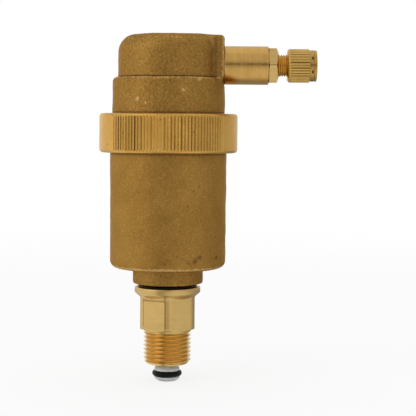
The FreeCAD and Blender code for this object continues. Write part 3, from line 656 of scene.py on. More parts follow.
# %% Group: rings that a cutting tool leaves
def build_turning_group():
    """Fine lines across a stretch direction. The stretch is small along the lines."""
    tree, given, out = shader_group(
        "Turning lines",
        [("Stretch", "Vector", (1.0, 1.0, 1.0)), ("Scale", "Float", 3000.0)],
        [("Lines", "Float"), ("Height", "Float")])
    place = own_coordinates(tree)
    stretched = node(tree, "ShaderNodeVectorMath", (place, given["Stretch"]),
                     operation="MULTIPLY").outputs[0]
    fine = noise(tree, stretched, given["Scale"], detail=3.0, roughness=0.7)
    broad = noise(tree, stretched, times(tree, given["Scale"], 0.16), detail=2.0)
    lines = plus(tree, times(tree, fine, 0.6), times(tree, broad, 0.4))
    tree.links.new(ramp(tree, lines, 0.3, 0.7), out["Lines"])
    tree.links.new(lines, out["Height"])
    return tree


# %% [markdown]
# Polished brass darkens in patches, gets small specks and is scratched by handling. The group puts
# out each of them as a mask, and the material decides how strongly it shows. A seed moves the
# noise, so that two pieces don't have the same patches.


# %% Group: tarnish and handling marks
def build_tarnish_group():
    """Soft brown patches and fine scratches that any brass surface collects."""
    tree, given, out = shader_group(
        "Tarnish",
        [("Patch scale", "Float", 180.0), ("Seed", "Float", 0.0)],
        [("Patches", "Float"), ("Specks", "Float"), ("Scratches", "Float")])
    place = own_coordinates(tree)
    aside = node(tree, "ShaderNodeCombineXYZ", (given["Seed"], 0.0, 0.0)).outputs[0]
    shifted = node(tree, "ShaderNodeVectorMath", (place, aside), operation="ADD").outputs[0]
    patches = noise(tree, shifted, given["Patch scale"], detail=4.0, roughness=0.6)
    tree.links.new(ramp(tree, patches, 0.42, 0.68), out["Patches"])
    specks = noise(tree, shifted, 1900.0, detail=2.0)
    tree.links.new(ramp(tree, specks, 0.62, 0.75), out["Specks"])
    slant = node(tree, "ShaderNodeMapping", (shifted,))
    slant.inputs["Rotation"].default_value = (0.5, 0.9, 0.3)
    slant.inputs["Scale"].default_value = (1.0, 0.06, 1.0)
    scratches = noise(tree, slant.outputs[0], 900.0, detail=1.0)
    tree.links.new(ramp(tree, scratches, 0.66, 0.72), out["Scratches"])
    return tree


casting_group = build_casting_group()
turning_group = build_turning_group()
tarnish_group = build_tarnish_group()
for group in (casting_group, turning_group, tarnish_group):
    print(f"{group.name} group: {len(group.nodes)} nodes")

# %% [markdown]
# Every material here is one Principled shader. The groups feed its colour, roughness and bump. A
# value that is the same all over, such as how metallic it is, is set on the shader's own socket,
# where the export finds it.


# %% A material's own nodes: shader, bump and the groups
def new_material(name):
    """Material with only a Principled shader and its output."""
    material = bpy.data.materials.new(name)
    material.use_nodes = True
    tree = material.node_tree
    shader = tree.nodes["Principled BSDF"]
    return material, tree, shader


def place_group(tree, group, **values):
    """Places a shader group and sets its inputs. Underscores stand for spaces."""
    made = tree.nodes.new("ShaderNodeGroup")
    made.node_tree = group
    for label, value in values.items():
        connect(tree, value, made.inputs[label.replace("_", " ")])
    return made.outputs


def add_bump(tree, shader, height, distance, strength=1.0):
    """Bump from a height, with its depth in millimetres."""
    bump = node(tree, "ShaderNodeBump")
    bump.inputs["Distance"].default_value = distance * mm
    bump.inputs["Strength"].default_value = strength
    connect(tree, height, bump.inputs["Height"])
    tree.links.new(bump.outputs[0], shader.inputs["Normal"])


def stored(tree, name):
    """Number stored on the piece's points."""
    return node(tree, "ShaderNodeAttribute", attribute_name=name).outputs["Fac"]


# %% [markdown]
# The chamber and the cover are sand-cast and tumbled. Their skin is dull, brown-gold and grainy,
# with paler flecks where the tumbling has rubbed the grains and with a few dark pits. Rubbed edges
# with painted highlights, and stains with painted shade, follow the numbers stored on the points,
# and noise makes their borders ragged.


# %% Finish: cast brass
def cast_brass():
    """Dull, grainy brass of the chamber and the cover."""
    material, tree, shader = new_material("cast_brass")
    grain = place_group(tree, casting_group, Light=colour(164, 124, 60), Dark=colour(153, 113, 51),
                        Fleck=colour(196, 158, 94), Grain=1700.0, Fleck_share=0.3,
                        Roughness=0.42)
    place = own_coordinates(tree)
    ragged = minus(tree, noise(tree, place, 900.0, detail=3.0), 0.5)
    rub_and_highlight = calculate(tree, "MULTIPLY_ADD", ragged, 2.6, stored(tree, "rub_and_highlight"))
    rub_and_highlight = times(tree, ramp(tree, rub_and_highlight, 0.5, 0.85, 0.0, 0.6),
                ramp(tree, stored(tree, "rub_and_highlight"), 0.05, 0.3))
    speckle = minus(tree, noise(tree, place, 1150.0, detail=3.0, roughness=0.7), 0.5)
    grit = stored(tree, "grit")
    shade = calculate(tree, "MULTIPLY_ADD", times(tree, speckle, 1.3), grit, 1.0)
    shade = calculate(tree, "MULTIPLY_ADD", grit, -0.09, shade)
    base = shaded(tree, grain["Colour"], shade)
    # Pale colour for rubbed spots and for the painted highlights and sheen on edges.
    base = mix_colour(tree, rub_and_highlight, base, colour(214, 178, 116))
    # Dark colour for stains, for painted shadows and shade in corners, and for the darker neck.
    stain_and_shade = calculate(tree, "MULTIPLY_ADD", ragged, 0.9, stored(tree, "stain_and_shade"))
    base = mix_colour(tree, ramp(tree, stain_and_shade, 0.25, 0.8, 0.0, 0.6), base, colour(88, 62, 38))
    connect(tree, base, shader.inputs["Base Color"])
    connect(tree, grain["Roughness"], shader.inputs["Roughness"])
    shader.inputs["Metallic"].default_value = 0.9
    shader.inputs["Specular Tint"].default_value = (0.76, 0.64, 0.48, 1)
    add_bump(tree, shader, grain["Height"], distance=0.06, strength=0.8)
    return material


# %% [markdown]
# The union nut is pressed from brass bar and tumbled. It is smoother and yellower than the
# castings, and the bottoms of its grooves are darker, partly from dirt and partly as painted shade,
# in some stretches more than in others.


# %% Finish: forged brass of the union nut
def forged_brass():
    """Satin brass with darker grooves."""
    material, tree, shader = new_material("forged_brass")
    grain = place_group(tree, casting_group, Light=colour(204, 160, 82), Dark=colour(194, 148, 70),
                        Fleck=colour(222, 184, 112), Grain=1900.0, Fleck_share=0.22,
                        Roughness=0.24)
    groups = stored(tree, "soil_and_shade")
    groove = ramp(tree, stored(tree, "groove"), 0.25, 0.95)
    # Dirt and painted shade in the groove bottoms, stronger in the stretches stored on the points.
    dirt_and_shade = times(tree, groove, calculate(tree, "MULTIPLY_ADD", groups, 0.74, 0.2))
    base = mix_colour(tree, dirt_and_shade, grain["Colour"], colour(84, 50, 18))
    connect(tree, base, shader.inputs["Base Color"])
    rough = plus(tree, grain["Roughness"], times(tree, dirt_and_shade, 0.3))
    connect(tree, rough, shader.inputs["Roughness"])
    shader.inputs["Metallic"].default_value = 0.95
    shader.inputs["Specular Tint"].default_value = (0.95, 0.9, 0.78, 1)
    add_bump(tree, shader, grain["Height"], distance=0.03, strength=0.7)
    return material


# %% [markdown]
# The outlet tube is turned on a lathe and only brushed clean, so fine rings run round it. The
# same recipe with other colours and finer lines makes the polished isolating valve and the cap, so
# it is one function with the differences as its inputs.


# %% Finish: turned, polished and cap brass
def machined_brass(name, light, tarnished, stretch, roughness, line_depth, line_scale=3200.0,
                   patch_share=0.5, groove_colour=(120, 74, 20), groove_share=0.5):
    """Bright brass with tool lines across the stretch direction and a little tarnish."""
    material, tree, shader = new_material(name)
    lines = place_group(tree, turning_group, Stretch=stretch, Scale=line_scale)
    tarnish = place_group(tree, tarnish_group, Patch_scale=210.0, Seed=len(name) * 1.7)
    share = times(tree, tarnish["Patches"], patch_share)
    base = mix_colour(tree, share, colour(*light), colour(*tarnished))
    tone = ramp(tree, lines["Lines"], 0.0, 1.0, 0.93, 1.04)
    base = shaded(tree, base, tone)
    # Thread flanks and knurl grooves change colour: paler gold on polished brass as a painted
    # reflection, darker brown on the cap as dirt and painted shade.
    groove = ramp(tree, stored(tree, "groove"), 0.12, 0.5, 0.0, groove_share)
    base = mix_colour(tree, groove, base, colour(*groove_colour))
    base = mix_colour(tree, times(tree, tarnish["Specks"], 0.18), base, colour(96, 60, 24))
    # The stored mark darkens the colour: painted dark reflections and shade on the valve's hexagon,
    # and the whole end of the cap.
    mark = times(tree, stored(tree, "mark"), 0.75)
    base = mix_colour(tree, mark, base, colour(112, 74, 30))
    connect(tree, base, shader.inputs["Base Color"])
    rough = calculate(tree, "MULTIPLY_ADD", lines["Lines"], 0.1, roughness)
    rough = plus(tree, rough, times(tree, share, 0.12))
    connect(tree, rough, shader.inputs["Roughness"])
    shader.inputs["Metallic"].default_value = 1.0
    height = minus(tree, lines["Height"], times(tree, tarnish["Scratches"], 0.25))
    add_bump(tree, shader, height, distance=line_depth, strength=0.6)
    return material


# %% [markdown]
# Rubber rings are black with a faint bloom, the plunger is white moulded plastic, and the float
# is a duller plastic. The lever work is thin stainless sheet, and the small washers are fibre.
# Each is a short material of its own, because they share little but the noise.


# %% Finish: rubber, plastic, stainless steel and fibre
def rubber():
    """Black rubber with a faint grey bloom."""
    material, tree, shader = new_material("black_rubber")
    place = own_coordinates(tree)
    bloom = noise(tree, place, 520.0, detail=4.0)
    base = mix_colour(tree, ramp(tree, bloom, 0.35, 0.75), colour(6, 6, 6), colour(14, 13, 13))
    connect(tree, base, shader.inputs["Base Color"])
    connect(tree, ramp(tree, bloom, 0.2, 0.8, 0.4, 0.55), shader.inputs["Roughness"])
    shader.inputs["Specular IOR Level"].default_value = 0.14
    add_bump(tree, shader, noise(tree, place, 2600.0, detail=2.0), distance=0.02)
    return material


def moulded(name, light, dark, roughness):
    """Moulded plastic with faint clouding and a fine mould texture."""
    material, tree, shader = new_material(name)
    place = own_coordinates(tree)
    clouds = noise(tree, place, 260.0, detail=4.0)
    skin = noise(tree, place, 3200.0, detail=3.0)
    base = mix_colour(tree, ramp(tree, clouds, 0.3, 0.75), colour(*light), colour(*dark))
    connect(tree, base, shader.inputs["Base Color"])
    connect(tree, ramp(tree, skin, 0.2, 0.8, roughness, roughness + 0.12),
            shader.inputs["Roughness"])
    add_bump(tree, shader, skin, distance=0.03, strength=0.6)
    return material


def stainless():
    """Rolled stainless sheet and drawn wire."""
    material, tree, shader = new_material("stainless_steel")
    lines = place_group(tree, turning_group, Stretch=(0.08, 1.0, 1.0), Scale=2600.0)
    base = mix_colour(tree, lines["Lines"], colour(176, 174, 168), colour(206, 205, 200))
    connect(tree, base, shader.inputs["Base Color"])
    connect(tree, ramp(tree, lines["Lines"], 0.0, 1.0, 0.24, 0.36), shader.inputs["Roughness"])
    shader.inputs["Metallic"].default_value = 1.0
    add_bump(tree, shader, lines["Height"], distance=0.01)
    return material


def fibre():
    """Pressed red-brown fibre."""
    material, tree, shader = new_material("seal_fibre")
    place = own_coordinates(tree)
    strands = noise(tree, place, 1800.0, detail=5.0, roughness=0.7)
    base = mix_colour(tree, ramp(tree, strands, 0.3, 0.7), colour(150, 84, 62), colour(184, 116, 88))
    connect(tree, base, shader.inputs["Base Color"])
    shader.inputs["Roughness"].default_value = 0.85
    add_bump(tree, shader, strands, distance=0.06)
    return material


finishes = {
    "cast_brass": cast_brass(),
    "forged_brass": forged_brass(),
    "turned_brass": machined_brass("turned_brass", (196, 156, 88), (186, 142, 72),
                                   stretch=(1.0, 0.03, 0.03), roughness=0.19,
                                   line_depth=0.005),
    # The polished brass's paler groove colour is a painted reflection on its thread flanks.
    "polished_brass": machined_brass("polished_brass", (197, 165, 103), (191, 156, 90),
                                     stretch=(0.05, 0.05, 1.0), roughness=0.13,
                                     line_depth=0.008, patch_share=0.4,
                                     groove_colour=(226, 184, 108), groove_share=0.65),
    # The cap's darker groove colour is dirt and painted shade in its knurl.
    "cap_brass": machined_brass("cap_brass", (204, 168, 94), (192, 152, 78),
                                stretch=(0.4, 0.4, 0.4), roughness=0.2, line_depth=0.012,
                                groove_colour=(140, 96, 38)),
    "black_rubber": rubber(),
    "white_plastic": moulded("white_plastic", (212, 216, 214), (196, 200, 198), roughness=0.42),
    "float_plastic": moulded("float_plastic", (206, 206, 196), (190, 190, 178), roughness=0.5),
    "stainless_steel": stainless(),
    "seal_fibre": fibre(),
}
print("finishes:", sorted(finishes))

# %% [markdown]
# The isolating valve below is machined from hexagon bar: pipe thread, hexagon, a flared flange and
# a recess for the rubber ring. It could be cut out of a six-sided cylinder with booleans, which
# leaves hard edges. A hexagon with rounded edges has a plain formula for its radius in each
# direction, so hexagon, chamfer, flange and thread are one mesh of rings.

# %% Hexagon bar as a radius in each direction
unlimited = 99.0


def melt(first, second, width):
    """Smooth minimum of two distances."""
    overlap = np.maximum(width - np.abs(first - second), 0) / width
    return np.minimum(first, second) - overlap ** 2 * width / 4


def hexagon_radius(columns, flats, turn, corner=unlimited, soft=0.01):
    """Radius of a hexagon in each direction, with its corners turned down to a radius. At a turn
    of 0 a corner faces -Y."""
    face = np.radians(-60 + turn)
    aside = (columns - face + math.pi / 6) % (math.pi / 3) - math.pi / 6
    return melt(flats / 2 / np.cos(aside), np.full(len(columns), corner), soft)


def hexagon_patch(bar, columns, cut):
    """Rings of a bar. Each (height, limit) of the cut gives a height and a largest radius."""
    rows = []
    for height, limit in cut:
        radius = np.minimum(bar, limit)
        level = np.zeros(len(columns)) + height
        rows.append(np.stack([radius * np.cos(columns), radius * np.sin(columns), level], axis=1))
    return np.array(rows), 0


# %% [markdown]
# The valve's hexagon shows how it was made: its corners are turned down to narrow round strips, one
# face is milled a little deeper, which leaves a ledge under the flange, and one lower corner has
# been knocked round. Such traces cost a few lines and make the piece look used.


# %% Isolating valve: painted shade by the milled face
def degrees_from(direction, place):
    """How far a direction is from a place, in degrees, with its sign."""
    return (direction - place + 180) % 360 - 180


def painted_shade_by_milled_face(places, face, ledge):
    """Painted dark reflections by the milled face's corner, painted shade under the ledge."""
    height = places[:, 2]
    aside = degrees_from(bearing(places), face)
    on_face = (axis_distance(places) > 11.5) & (height > 1.0)
    # The line along the corner and the faint strip beside it are painted dark reflections, and the
    # line under the ledge is painted shade.
    beside = np.exp(-((aside - 25.0) / 0.9) ** 2) * (height < ledge)
    above = np.exp(-((height - ledge) / 0.22) ** 2) * (np.abs(aside) < 25)
    strip = np.exp(-((aside - 30.0) / 3.5) ** 2) * (height < ledge) * 0.3
    return np.clip(beside + above * 0.8 + strip, 0, 1) * on_face


# %% Isolating valve: hexagon and body
valve_turn = 2.3
milled_face = -120 + valve_turn


def valve_hexagon(columns, turn, flats, corner, ledge, top, slope):
    """Rings from the thread's shoulder up the hexagon and through the fillet to the flange."""
    milled, knocked = 0.17, 0.75
    milled_half, milled_slope, knocked_width, knocked_height = 24.6, 0.9, 9.0, 2.8
    direction = np.degrees(columns)
    bar = hexagon_radius(columns, flats, turn, corner, soft=0.35)
    past = milled_half - np.abs(degrees_from(direction, milled_face))
    deeper = milled * np.clip(past / milled_slope, 0, 1)
    wear = knocked * np.exp(-(degrees_from(direction, -150 + turn) / knocked_width) ** 2)
    chamfer, rise = 0.75, 0.7
    limits = [(0.0, 10.9), (0.0, corner - chamfer)]
    for share in np.linspace(0.0, 1.0, 12)[1:]:
        limits.append((rise * share ** 1.3, corner - chamfer + chamfer * share))
    limits += [(height, corner) for height in np.linspace(1.0, ledge - 0.1, 24)]
    worn = [(height, np.minimum(limit, corner - wear * max(0, 1 - height / knocked_height) ** 1.6))
            for height, limit in limits]
    rings = [hexagon_patch(bar - deeper, columns, worn)[0],
             hexagon_patch(bar, columns, [(ledge + 0.05, unlimited)])[0]]
    meeting = top + (bar - flats / 2) * slope
    fillet = 0.6
    for share in np.linspace(0.0, 1.0, 6):
        height = meeting - 0.45 * (1 - share) ** 2 + fillet * slope * share ** 2
        reach = bar + fillet * share ** 2
        rings.append(hexagon_patch(reach, columns, [(height, unlimited)])[0])
    return rings


def isolating_valve():
    """Hexagon bar with a pipe thread below and a flange above."""
    thread_radius, pitch, depth = 10.478, 1.814, 1.16
    flats, corner, hexagon_top, ledge = 24.0, 13.16, 13.8, 13.25
    passage, tip, pocket, pocket_top, socket, recess = 5.9, 9.15, 7.0, 6.3, 8.41, 13.1
    flange_radius, flange_low, seat = valve_high[0], hexagon_top + 2.3, gasket_low[2]
    end, thread_high, floor = valve_low[2], -0.7, pocket_floor()
    corner_places = [-90 + valve_turn + 60 * side for side in range(6)]
    columns = dense_columns(step=2.0, fine_step=0.3, places=corner_places, reach=7.2)
    inside = outline([
        (passage, floor), (passage, end + 0.5), (6.4, end), (tip - 0.2, end, 0.25),
        (tip, end + 0.3),
    ], step=0.08)
    blank = [(tip, end + 0.3), (thread_radius, end + 1.4), (thread_radius, thread_high)]
    relief = outline([(thread_radius, thread_high), (thread_radius, -0.25, 0.2), (10.9, 0.0)],
                     step=0.1)
    slope = (flange_low - hexagon_top) / (flange_radius - flats / 2)
    rings = valve_hexagon(columns, valve_turn, flats, corner, ledge, hexagon_top, slope)
    cone_start = corner + 0.65
    flange = outline([
        (cone_start, hexagon_top + (cone_start - flats / 2) * slope),
        (flange_radius, flange_low, 0.2), (flange_radius, valve_high[2], 0.45),
        (recess, valve_high[2]), (recess, seat), (socket, seat), (socket, pocket_top),
        (pocket, pocket_top), (pocket, floor), (passage, floor),
    ], step=0.1)
    rings.append(turned_patch(flange[:1], columns)[0])
    valve = build("isolating_valve", [
        turned_patch(inside, columns),
        helix_patch(blank, pitch, columns, 16),
        turned_patch(relief, columns),
        (np.concatenate(rings), 0),
        turned_patch(flange, columns),
    ])
    # The stored mark paints dark reflections and shade on the hexagon.
    store_on_points(valve.data, "mark", painted_shade_by_milled_face(points_of(valve.data), milled_face, ledge))
    apply_tree(valve, thread_tree, {
        "Pitch": pitch, "Start": 0.62, "Depth": depth, "Radius": thread_radius, "Low": end - 0.6,
        "High": thread_high, "Run-out": 1.25, "Material": finishes["polished_brass"]})
    hand_over(valve, "polished_brass", "isolating_valve", "isolating_valve_body", crease=32)


def pocket_floor():
    """Floor of the spring pocket, just below the spring."""
    return corners("plunger_spring")[0][2] - 0.05


isolating_valve()

# %% [markdown]
# A few shapes aren't turned: the crossed ribs of the plunger, the slots of the cap and the bores
# through the cover. They are plain bodies that a boolean joins or cuts, as a mill would. The exact
# solver is slower than the fast one but leaves a closed mesh, also where faces touch.


# %% Blocks and booleans
def turn_matrix(degrees):
    """Rotation about the upright axis."""
    return Matrix.Rotation(math.radians(degrees), 4, "Z")


def rounded_block(name, low, high, edge):
    """Box with bevelled edges, in millimetres."""
    solid = bmesh.new()
    bmesh.ops.create_cube(solid, size=1.0)
    for vertex in solid.verts:
        for axis in range(3):
            share = vertex.co[axis] + 0.5
            vertex.co[axis] = low[axis] + (high[axis] - low[axis]) * share
    bmesh.ops.bevel(solid, geom=solid.edges, offset=edge, segments=2, profile=0.5,
                    affect="EDGES")
    mesh = bpy.data.meshes.new(name)
    solid.to_mesh(mesh)
    solid.free()
    return new_object(name, mesh)


def combine(thing, tool, operation):
    """Joins a tool to an object, or cuts it out, by a boolean, and removes the tool."""
    modifier = thing.modifiers.new("boolean", "BOOLEAN")
    modifier.operation = operation
    modifier.solver = "EXACT"
    modifier.object = tool
    keep_result(thing, modifier)
    bpy.data.objects.remove(tool)


# %% [markdown]
# The plunger of the isolating valve hangs out below the thread when the vent is screwed in. It is
# two discs with a groove between them for a rubber ring, and its cross-shaped stem runs up the
# bore. The discs are turned in one outline, and the two ribs of the stem are joined to it.


# %% Plunger
def plunger():
    """A rounded shoulder, the ring's groove, a bevelled disc, and a stem of crossed ribs."""
    low, high = plunger_low[2], plunger_high[2]
    groove_low, groove_high = ring_low[2], ring_high[2]
    disc, groove, stem = 5.6, 4.0, 2.2
    shoulder = groove_high + 3.0
    spool = outline([
        (0, low), (disc - 1.45, low, 0.35), (disc, low + 1.05, 0.35), (disc, groove_low, 0.12),
        (groove, groove_low), (groove, groove_high), (disc, groove_high, 0.12),
        (disc - 0.05, groove_high + 1.0, 0.5), (disc - 1.4, shoulder, 0.3), (stem, shoulder, 0.3),
        (stem, high, 0.2), (0, high),
    ], step=0.06)
    body = build("plunger", [turned_patch(spool, even_columns(96))])
    reach, half, rib_top = disc - 0.1, 0.7, corners("plunger_push_disc")[0][2] - 0.05
    for turn in (0, 90):
        rib = rounded_block("rib", (-reach, -half, shoulder - 0.2), (reach, half, rib_top), 0.2)
        if turn:
            rib.data.transform(turn_matrix(turn))
        combine(body, rib, "UNION")
    hand_over(body, "white_plastic", "plunger", "isolating_plunger")


plunger()

# %% [markdown]
# A rubber ring is round in section with a fine line round its outside, where the two halves of its
# mould met. A torus from the Add menu has no such line, so the ring is turned from an outline.


# %% Rubber rings
def ring_seal(name, low, high, body, node_name):
    """Rubber ring of round section with a fine mould line round its outside."""
    section = (high[2] - low[2]) / 2
    middle = high[0] - section
    centre = (high[2] + low[2]) / 2
    around = np.linspace(0, 2 * math.pi, 73)
    line_height, line_width = 0.015, 0.05
    line = line_height * np.exp(-(np.sin(around / 2) / line_width) ** 2)
    reach = section * (1 - line_height + line)
    points = np.stack([middle + reach * np.cos(around), centre + reach * np.sin(around)], axis=1)
    ring = build(name, [turned_patch(points, even_columns(160))])
    hand_over(ring, "black_rubber", body, node_name)


ring_seal("plunger_ring", ring_low, ring_high, "plunger", "plunger_oring")
ring_seal("neck_ring", gasket_low, gasket_high, "neck_seal", "neck_gasket")

# %% [markdown]
# A casting is never quite true. Its faces swell and sink by a few hundredths of a millimetre over
# a few millimetres, and its edges are softened by tumbling. A Displace modifier with a cloud
# texture could do it. Here the swelling is a sum of waves in seeded directions, which is smooth,
# quick and the same in every run, and can be faded out where a face is machined.


# %% Unevenness of a casting
def swelling(points, seed, size, depth, waves=36):
    """Smooth random height at each point: waves of about a given size, in millimetres."""
    generator = np.random.default_rng(seed)
    total = np.zeros(points.shape[:-1])
    for _ in range(waves):
        direction = generator.normal(size=3)
        direction /= np.linalg.norm(direction)
        length = size * generator.uniform(0.6, 1.8)
        phase = generator.uniform(0, 2 * math.pi)
        total += np.sin(points @ direction * 2 * math.pi / length + phase)
    return total * depth / math.sqrt(waves / 2)


def push_outwards(grid, amount):
    """Moves points away from the upright axis by an amount for each."""
    flat = grid[:, :, :2]
    radius = np.linalg.norm(flat, axis=2, keepdims=True)
    moved = flat * (1 + amount[:, :, None] / np.maximum(radius, 1e-6))
    return np.concatenate([moved, grid[:, :, 2:]], axis=2)


# %% [markdown]
# The chamber is a cast cup with a neck. Its tail and its collar are threaded, and its rim is turned
# flat for the gasket. The outline goes up the outside and down the inside in one loop, in patches:
# threads climb, the cast skin swells, and the machined faces stay true.


# %% Float chamber
def chamber_marks(mesh, bottom_radius, bottom_z, top_radius):
    """Painted highlight on the rubbed lower edge, stains, painted shadow under the nut, darker neck.
    """
    places = points_of(mesh)
    radius, height = axis_distance(places), places[:, 2]
    # The pale lower edge is partly rubbed and partly a painted highlight.
    edge = line_mark(radius - bottom_radius + 0.7, height - bottom_z - 0.9, 0.9)
    stain_and_shade = spots(places, [
        (12.1, -22.0, 32.0, 1.5), (14.2, -20.8, 33.5, 1.1), (9.5, -23.2, 31.2, 0.9),
        (21.3, -13.5, 32.8, 1.2), (-0.6, -25.2, 31.0, 0.7), (4.0, 25.0, 33.0, 1.3),
        (-15.0, 20.3, 38.0, 1.0), (24.0, 6.5, 44.0, 0.8),
    ])
    # A painted shadow line on the chamber just under the nut.
    stain_and_shade += line_mark(radius - top_radius, height - nut_low[2] + 0.2, 0.9) * 0.8
    # The neck is darker below the chamber's bottom.
    stain_and_shade += np.clip((bottom_z + 0.3 - height) / 0.5, 0, 1) * 0.42
    store_on_points(mesh, "rub_and_highlight", np.clip(edge, 0, 1))
    store_on_points(mesh, "stain_and_shade", np.clip(stain_and_shade, 0, 1))
    store_on_points(mesh, "grit", 0.35)


def float_chamber():
    """Cast chamber with its neck, the tail's thread below and the collar's thread above."""
    columns = even_columns(300)
    tail_z, neck_z, bottom_z, rim_z = chamber_low[2], 20.15, 27.05, chamber_high[2]
    collar, collar_z, bevel = chamber_high[0], chamber_high[2] - 7.9, 0.8
    tail_radius, tail_pitch, collar_pitch, tail_bore = 8.33, 1.337, 1.5, 5.5
    bottom_radius, top_radius, neck = 25.45, 25.7, 15.5
    gasket_radius, register, wall, floor_low, floor_high = 26.45, 23.05, 22.85, 29.25, 30.45
    tail_start, tail_stop = tail_z + 1.0, neck_z - 0.4
    tail_end = outline([(tail_bore, tail_z), (7.4, tail_z), (tail_radius, tail_z + 0.9),
                        (tail_radius, tail_start)])
    skin = outline([
        (tail_radius, tail_stop), (tail_radius, neck_z), (neck, neck_z, 0.5),
        (neck, bottom_z, 0.35), (bottom_radius, bottom_z, 3.1), (top_radius, collar_z - 0.3, 0.1),
        (top_radius, collar_z),
    ], step=0.25, run=0.55)
    step = outline([(top_radius, collar_z), (collar - bevel, collar_z),
                    (collar, collar_z + bevel)])
    inside = outline([
        (collar, rim_z - bevel), (collar - bevel, rim_z), (gasket_radius, rim_z),
        (gasket_radius, rim_z - 1.0), (register, rim_z - 1.0), (register, rim_z - 5.6),
        (wall, floor_high, 3.0), (tail_bore, floor_low), (tail_bore, tail_z),
    ], step=0.5)
    grid, _ = turned_patch(skin, columns)
    cast = np.clip((axis_distance(grid) - 9.5) / 2, 0, 1)
    cast *= np.clip((collar_z - 1.5 - grid[:, :, 2]) / 4, 0, 1)
    amount = swelling(grid, seed=11, size=9.0, depth=0.05)
    amount = (amount + swelling(grid, seed=12, size=3.2, depth=0.018)) * cast
    chamber = build("chamber", [
        turned_patch(tail_end, columns),
        helix_patch([(tail_radius, tail_start), (tail_radius, tail_stop)], tail_pitch, columns, 10),
        (push_outwards(grid, amount), 0),
        turned_patch(step, columns),
        helix_patch([(collar, collar_z + bevel), (collar, rim_z - bevel)], collar_pitch, columns,
                    10),
        turned_patch(inside, columns),
    ])
    for radius, pitch, depth, low, high in (
            (tail_radius, tail_pitch, 0.8, tail_z - 0.2, tail_stop),
            (collar, collar_pitch, 0.85, collar_z + 0.3, rim_z - 0.3)):
        apply_tree(chamber, thread_tree, {
            "Pitch": pitch, "Start": 0.0, "Depth": depth, "Radius": radius, "Low": low,
            "High": high, "Run-out": 0.9, "Material": finishes["cast_brass"]})
    chamber_marks(chamber.data, bottom_radius, bottom_z, top_radius)
    hand_over(chamber, "cast_brass", "vent_body", "float_chamber")


float_chamber()

# %% [markdown]
# The cover is one casting: a round shoulder, a rounded cap on it, and an upright pad that runs out
# of the cap and carries the outlet. Such a blended form is easiest to state as a distance: each
# simple body gives the distance to its skin, and a smooth minimum melts them together. Rays from
# one point inside then find the skin in every direction. Joining bodies with a boolean and
# bevelling the seam would give the same idea, but the bevel fails where the seam runs flat.

# %% Distances to simple rounded bodies
flange_top = cover_low[2] + 6.4
shoulder_top = flange_top + 19.2
cover_top = cover_high[2] - 0.4
shoulder_foot, cap_radius, cap_edge, pad_front, pad_half = 24.9, 22.3, 6.5, 24.5, 10.0


def rounded_box_distance(gaps, edge):
    """Distance to a body with rounded edges, from how far a point lies past each of its faces."""
    past = [gap + edge for gap in gaps]
    outside = np.sqrt(sum(np.maximum(value, 0) ** 2 for value in past))
    inside = np.minimum(np.maximum.reduce(past), 0)
    return outside + inside - edge


def cover_distance(points):
    """Distance from points to the outside of the cover."""
    radius, height = axis_distance(points), points[..., 2]
    taper = shoulder_foot - 0.3 * (height - flange_top) / (shoulder_top - flange_top)
    shoulder = rounded_box_distance([radius - taper, height - shoulder_top], edge=1.9)
    out = radius / cap_radius
    crown = cover_top + 0.4 - 0.5 * out ** 2 - 0.9 * np.minimum(out, 1) ** 6
    cap_form = rounded_box_distance([radius - cap_radius, height - crown], edge=cap_edge)
    pad_top = cover_top + 0.4 * (1 - out)
    forward = points[..., 0] - pad_front
    pad = rounded_box_distance([forward, np.abs(points[..., 1]) - pad_half, height - pad_top,
                                -points[..., 0]], edge=1.7)
    under = (forward - (height - shoulder_top) + 0.2) * math.sqrt(0.5)
    pad = -melt(-pad, -under, width=0.8)
    return melt(melt(shoulder, cap_form, width=0.7), pad, width=1.6)


# %% Rays that find the skin
def skin_by_rays(centre, elevations, columns, distance, reach=60.0, halvings=34):
    """Rows of points where rays from a centre on the axis leave the body."""
    level, around = np.meshgrid(elevations, columns, indexing="ij")
    direction = np.stack([np.cos(level) * np.cos(around), np.cos(level) * np.sin(around),
                          np.sin(level)], axis=2)
    start = np.array([0.0, 0.0, centre])
    near = np.zeros(level.shape)
    far = np.full(level.shape, reach)
    for _ in range(halvings):
        middle = (near + far) / 2
        inside = distance(start + direction * middle[..., None]) < 0
        near = np.where(inside, middle, near)
        far = np.where(inside, far, middle)
    return start + direction * far[..., None], direction


# %% [markdown]
# The skin is a grid of rays, so its rows can end on the flange below and in one point on top, and
# the columns are closer together round the pad. The swelling fades out towards the flange, which
# is machined.


# %% Cover: the cast skin
def cover_skin(columns):
    """Grid of points on the outside, from the flange to one point on top."""
    guide = outline([(shoulder_foot, flange_top), (24.6, shoulder_top, 1.9),
                     (cap_radius, shoulder_top, 0.3), (cap_radius, cover_top, cap_edge),
                     (0.0, cover_top + 0.4)], step=0.3, run=0.5)
    centre = flange_top + 4.0
    elevations = np.arctan2(guide[:-1, 1] - centre, guide[:-1, 0])
    skin, direction = skin_by_rays(centre, elevations, columns, cover_distance)
    fade = np.clip((skin[:, :, 2] - flange_top) / 3, 0, 1)
    amount = swelling(skin, seed=21, size=8.0, depth=0.05)
    amount = (amount + swelling(skin, seed=22, size=3.0, depth=0.02)) * fade
    skin = skin + direction * amount[..., None]
    skin[:, :, 2] = np.minimum(skin[:, :, 2], cover_high[2])
    skin = np.concatenate([skin, np.tile([[0.0, 0.0, cover_high[2]]], (1, len(columns), 1))])
    skin[0, :, :2] *= (shoulder_foot / axis_distance(skin[0]))[:, None]
    skin[0, :, 2] = flange_top
    return skin


# %% [markdown]
# Inside, the cover has a lower room for the float and an upper room for the lever, both round. The
# upper room is cut short at the pad, where the outlet is screwed in. The bores of the outlet run
# across the rooms, so a boolean takes them out of the finished casting.

# %% Cover: rooms and bores
pad_face = spigot_high[0] - 20.1


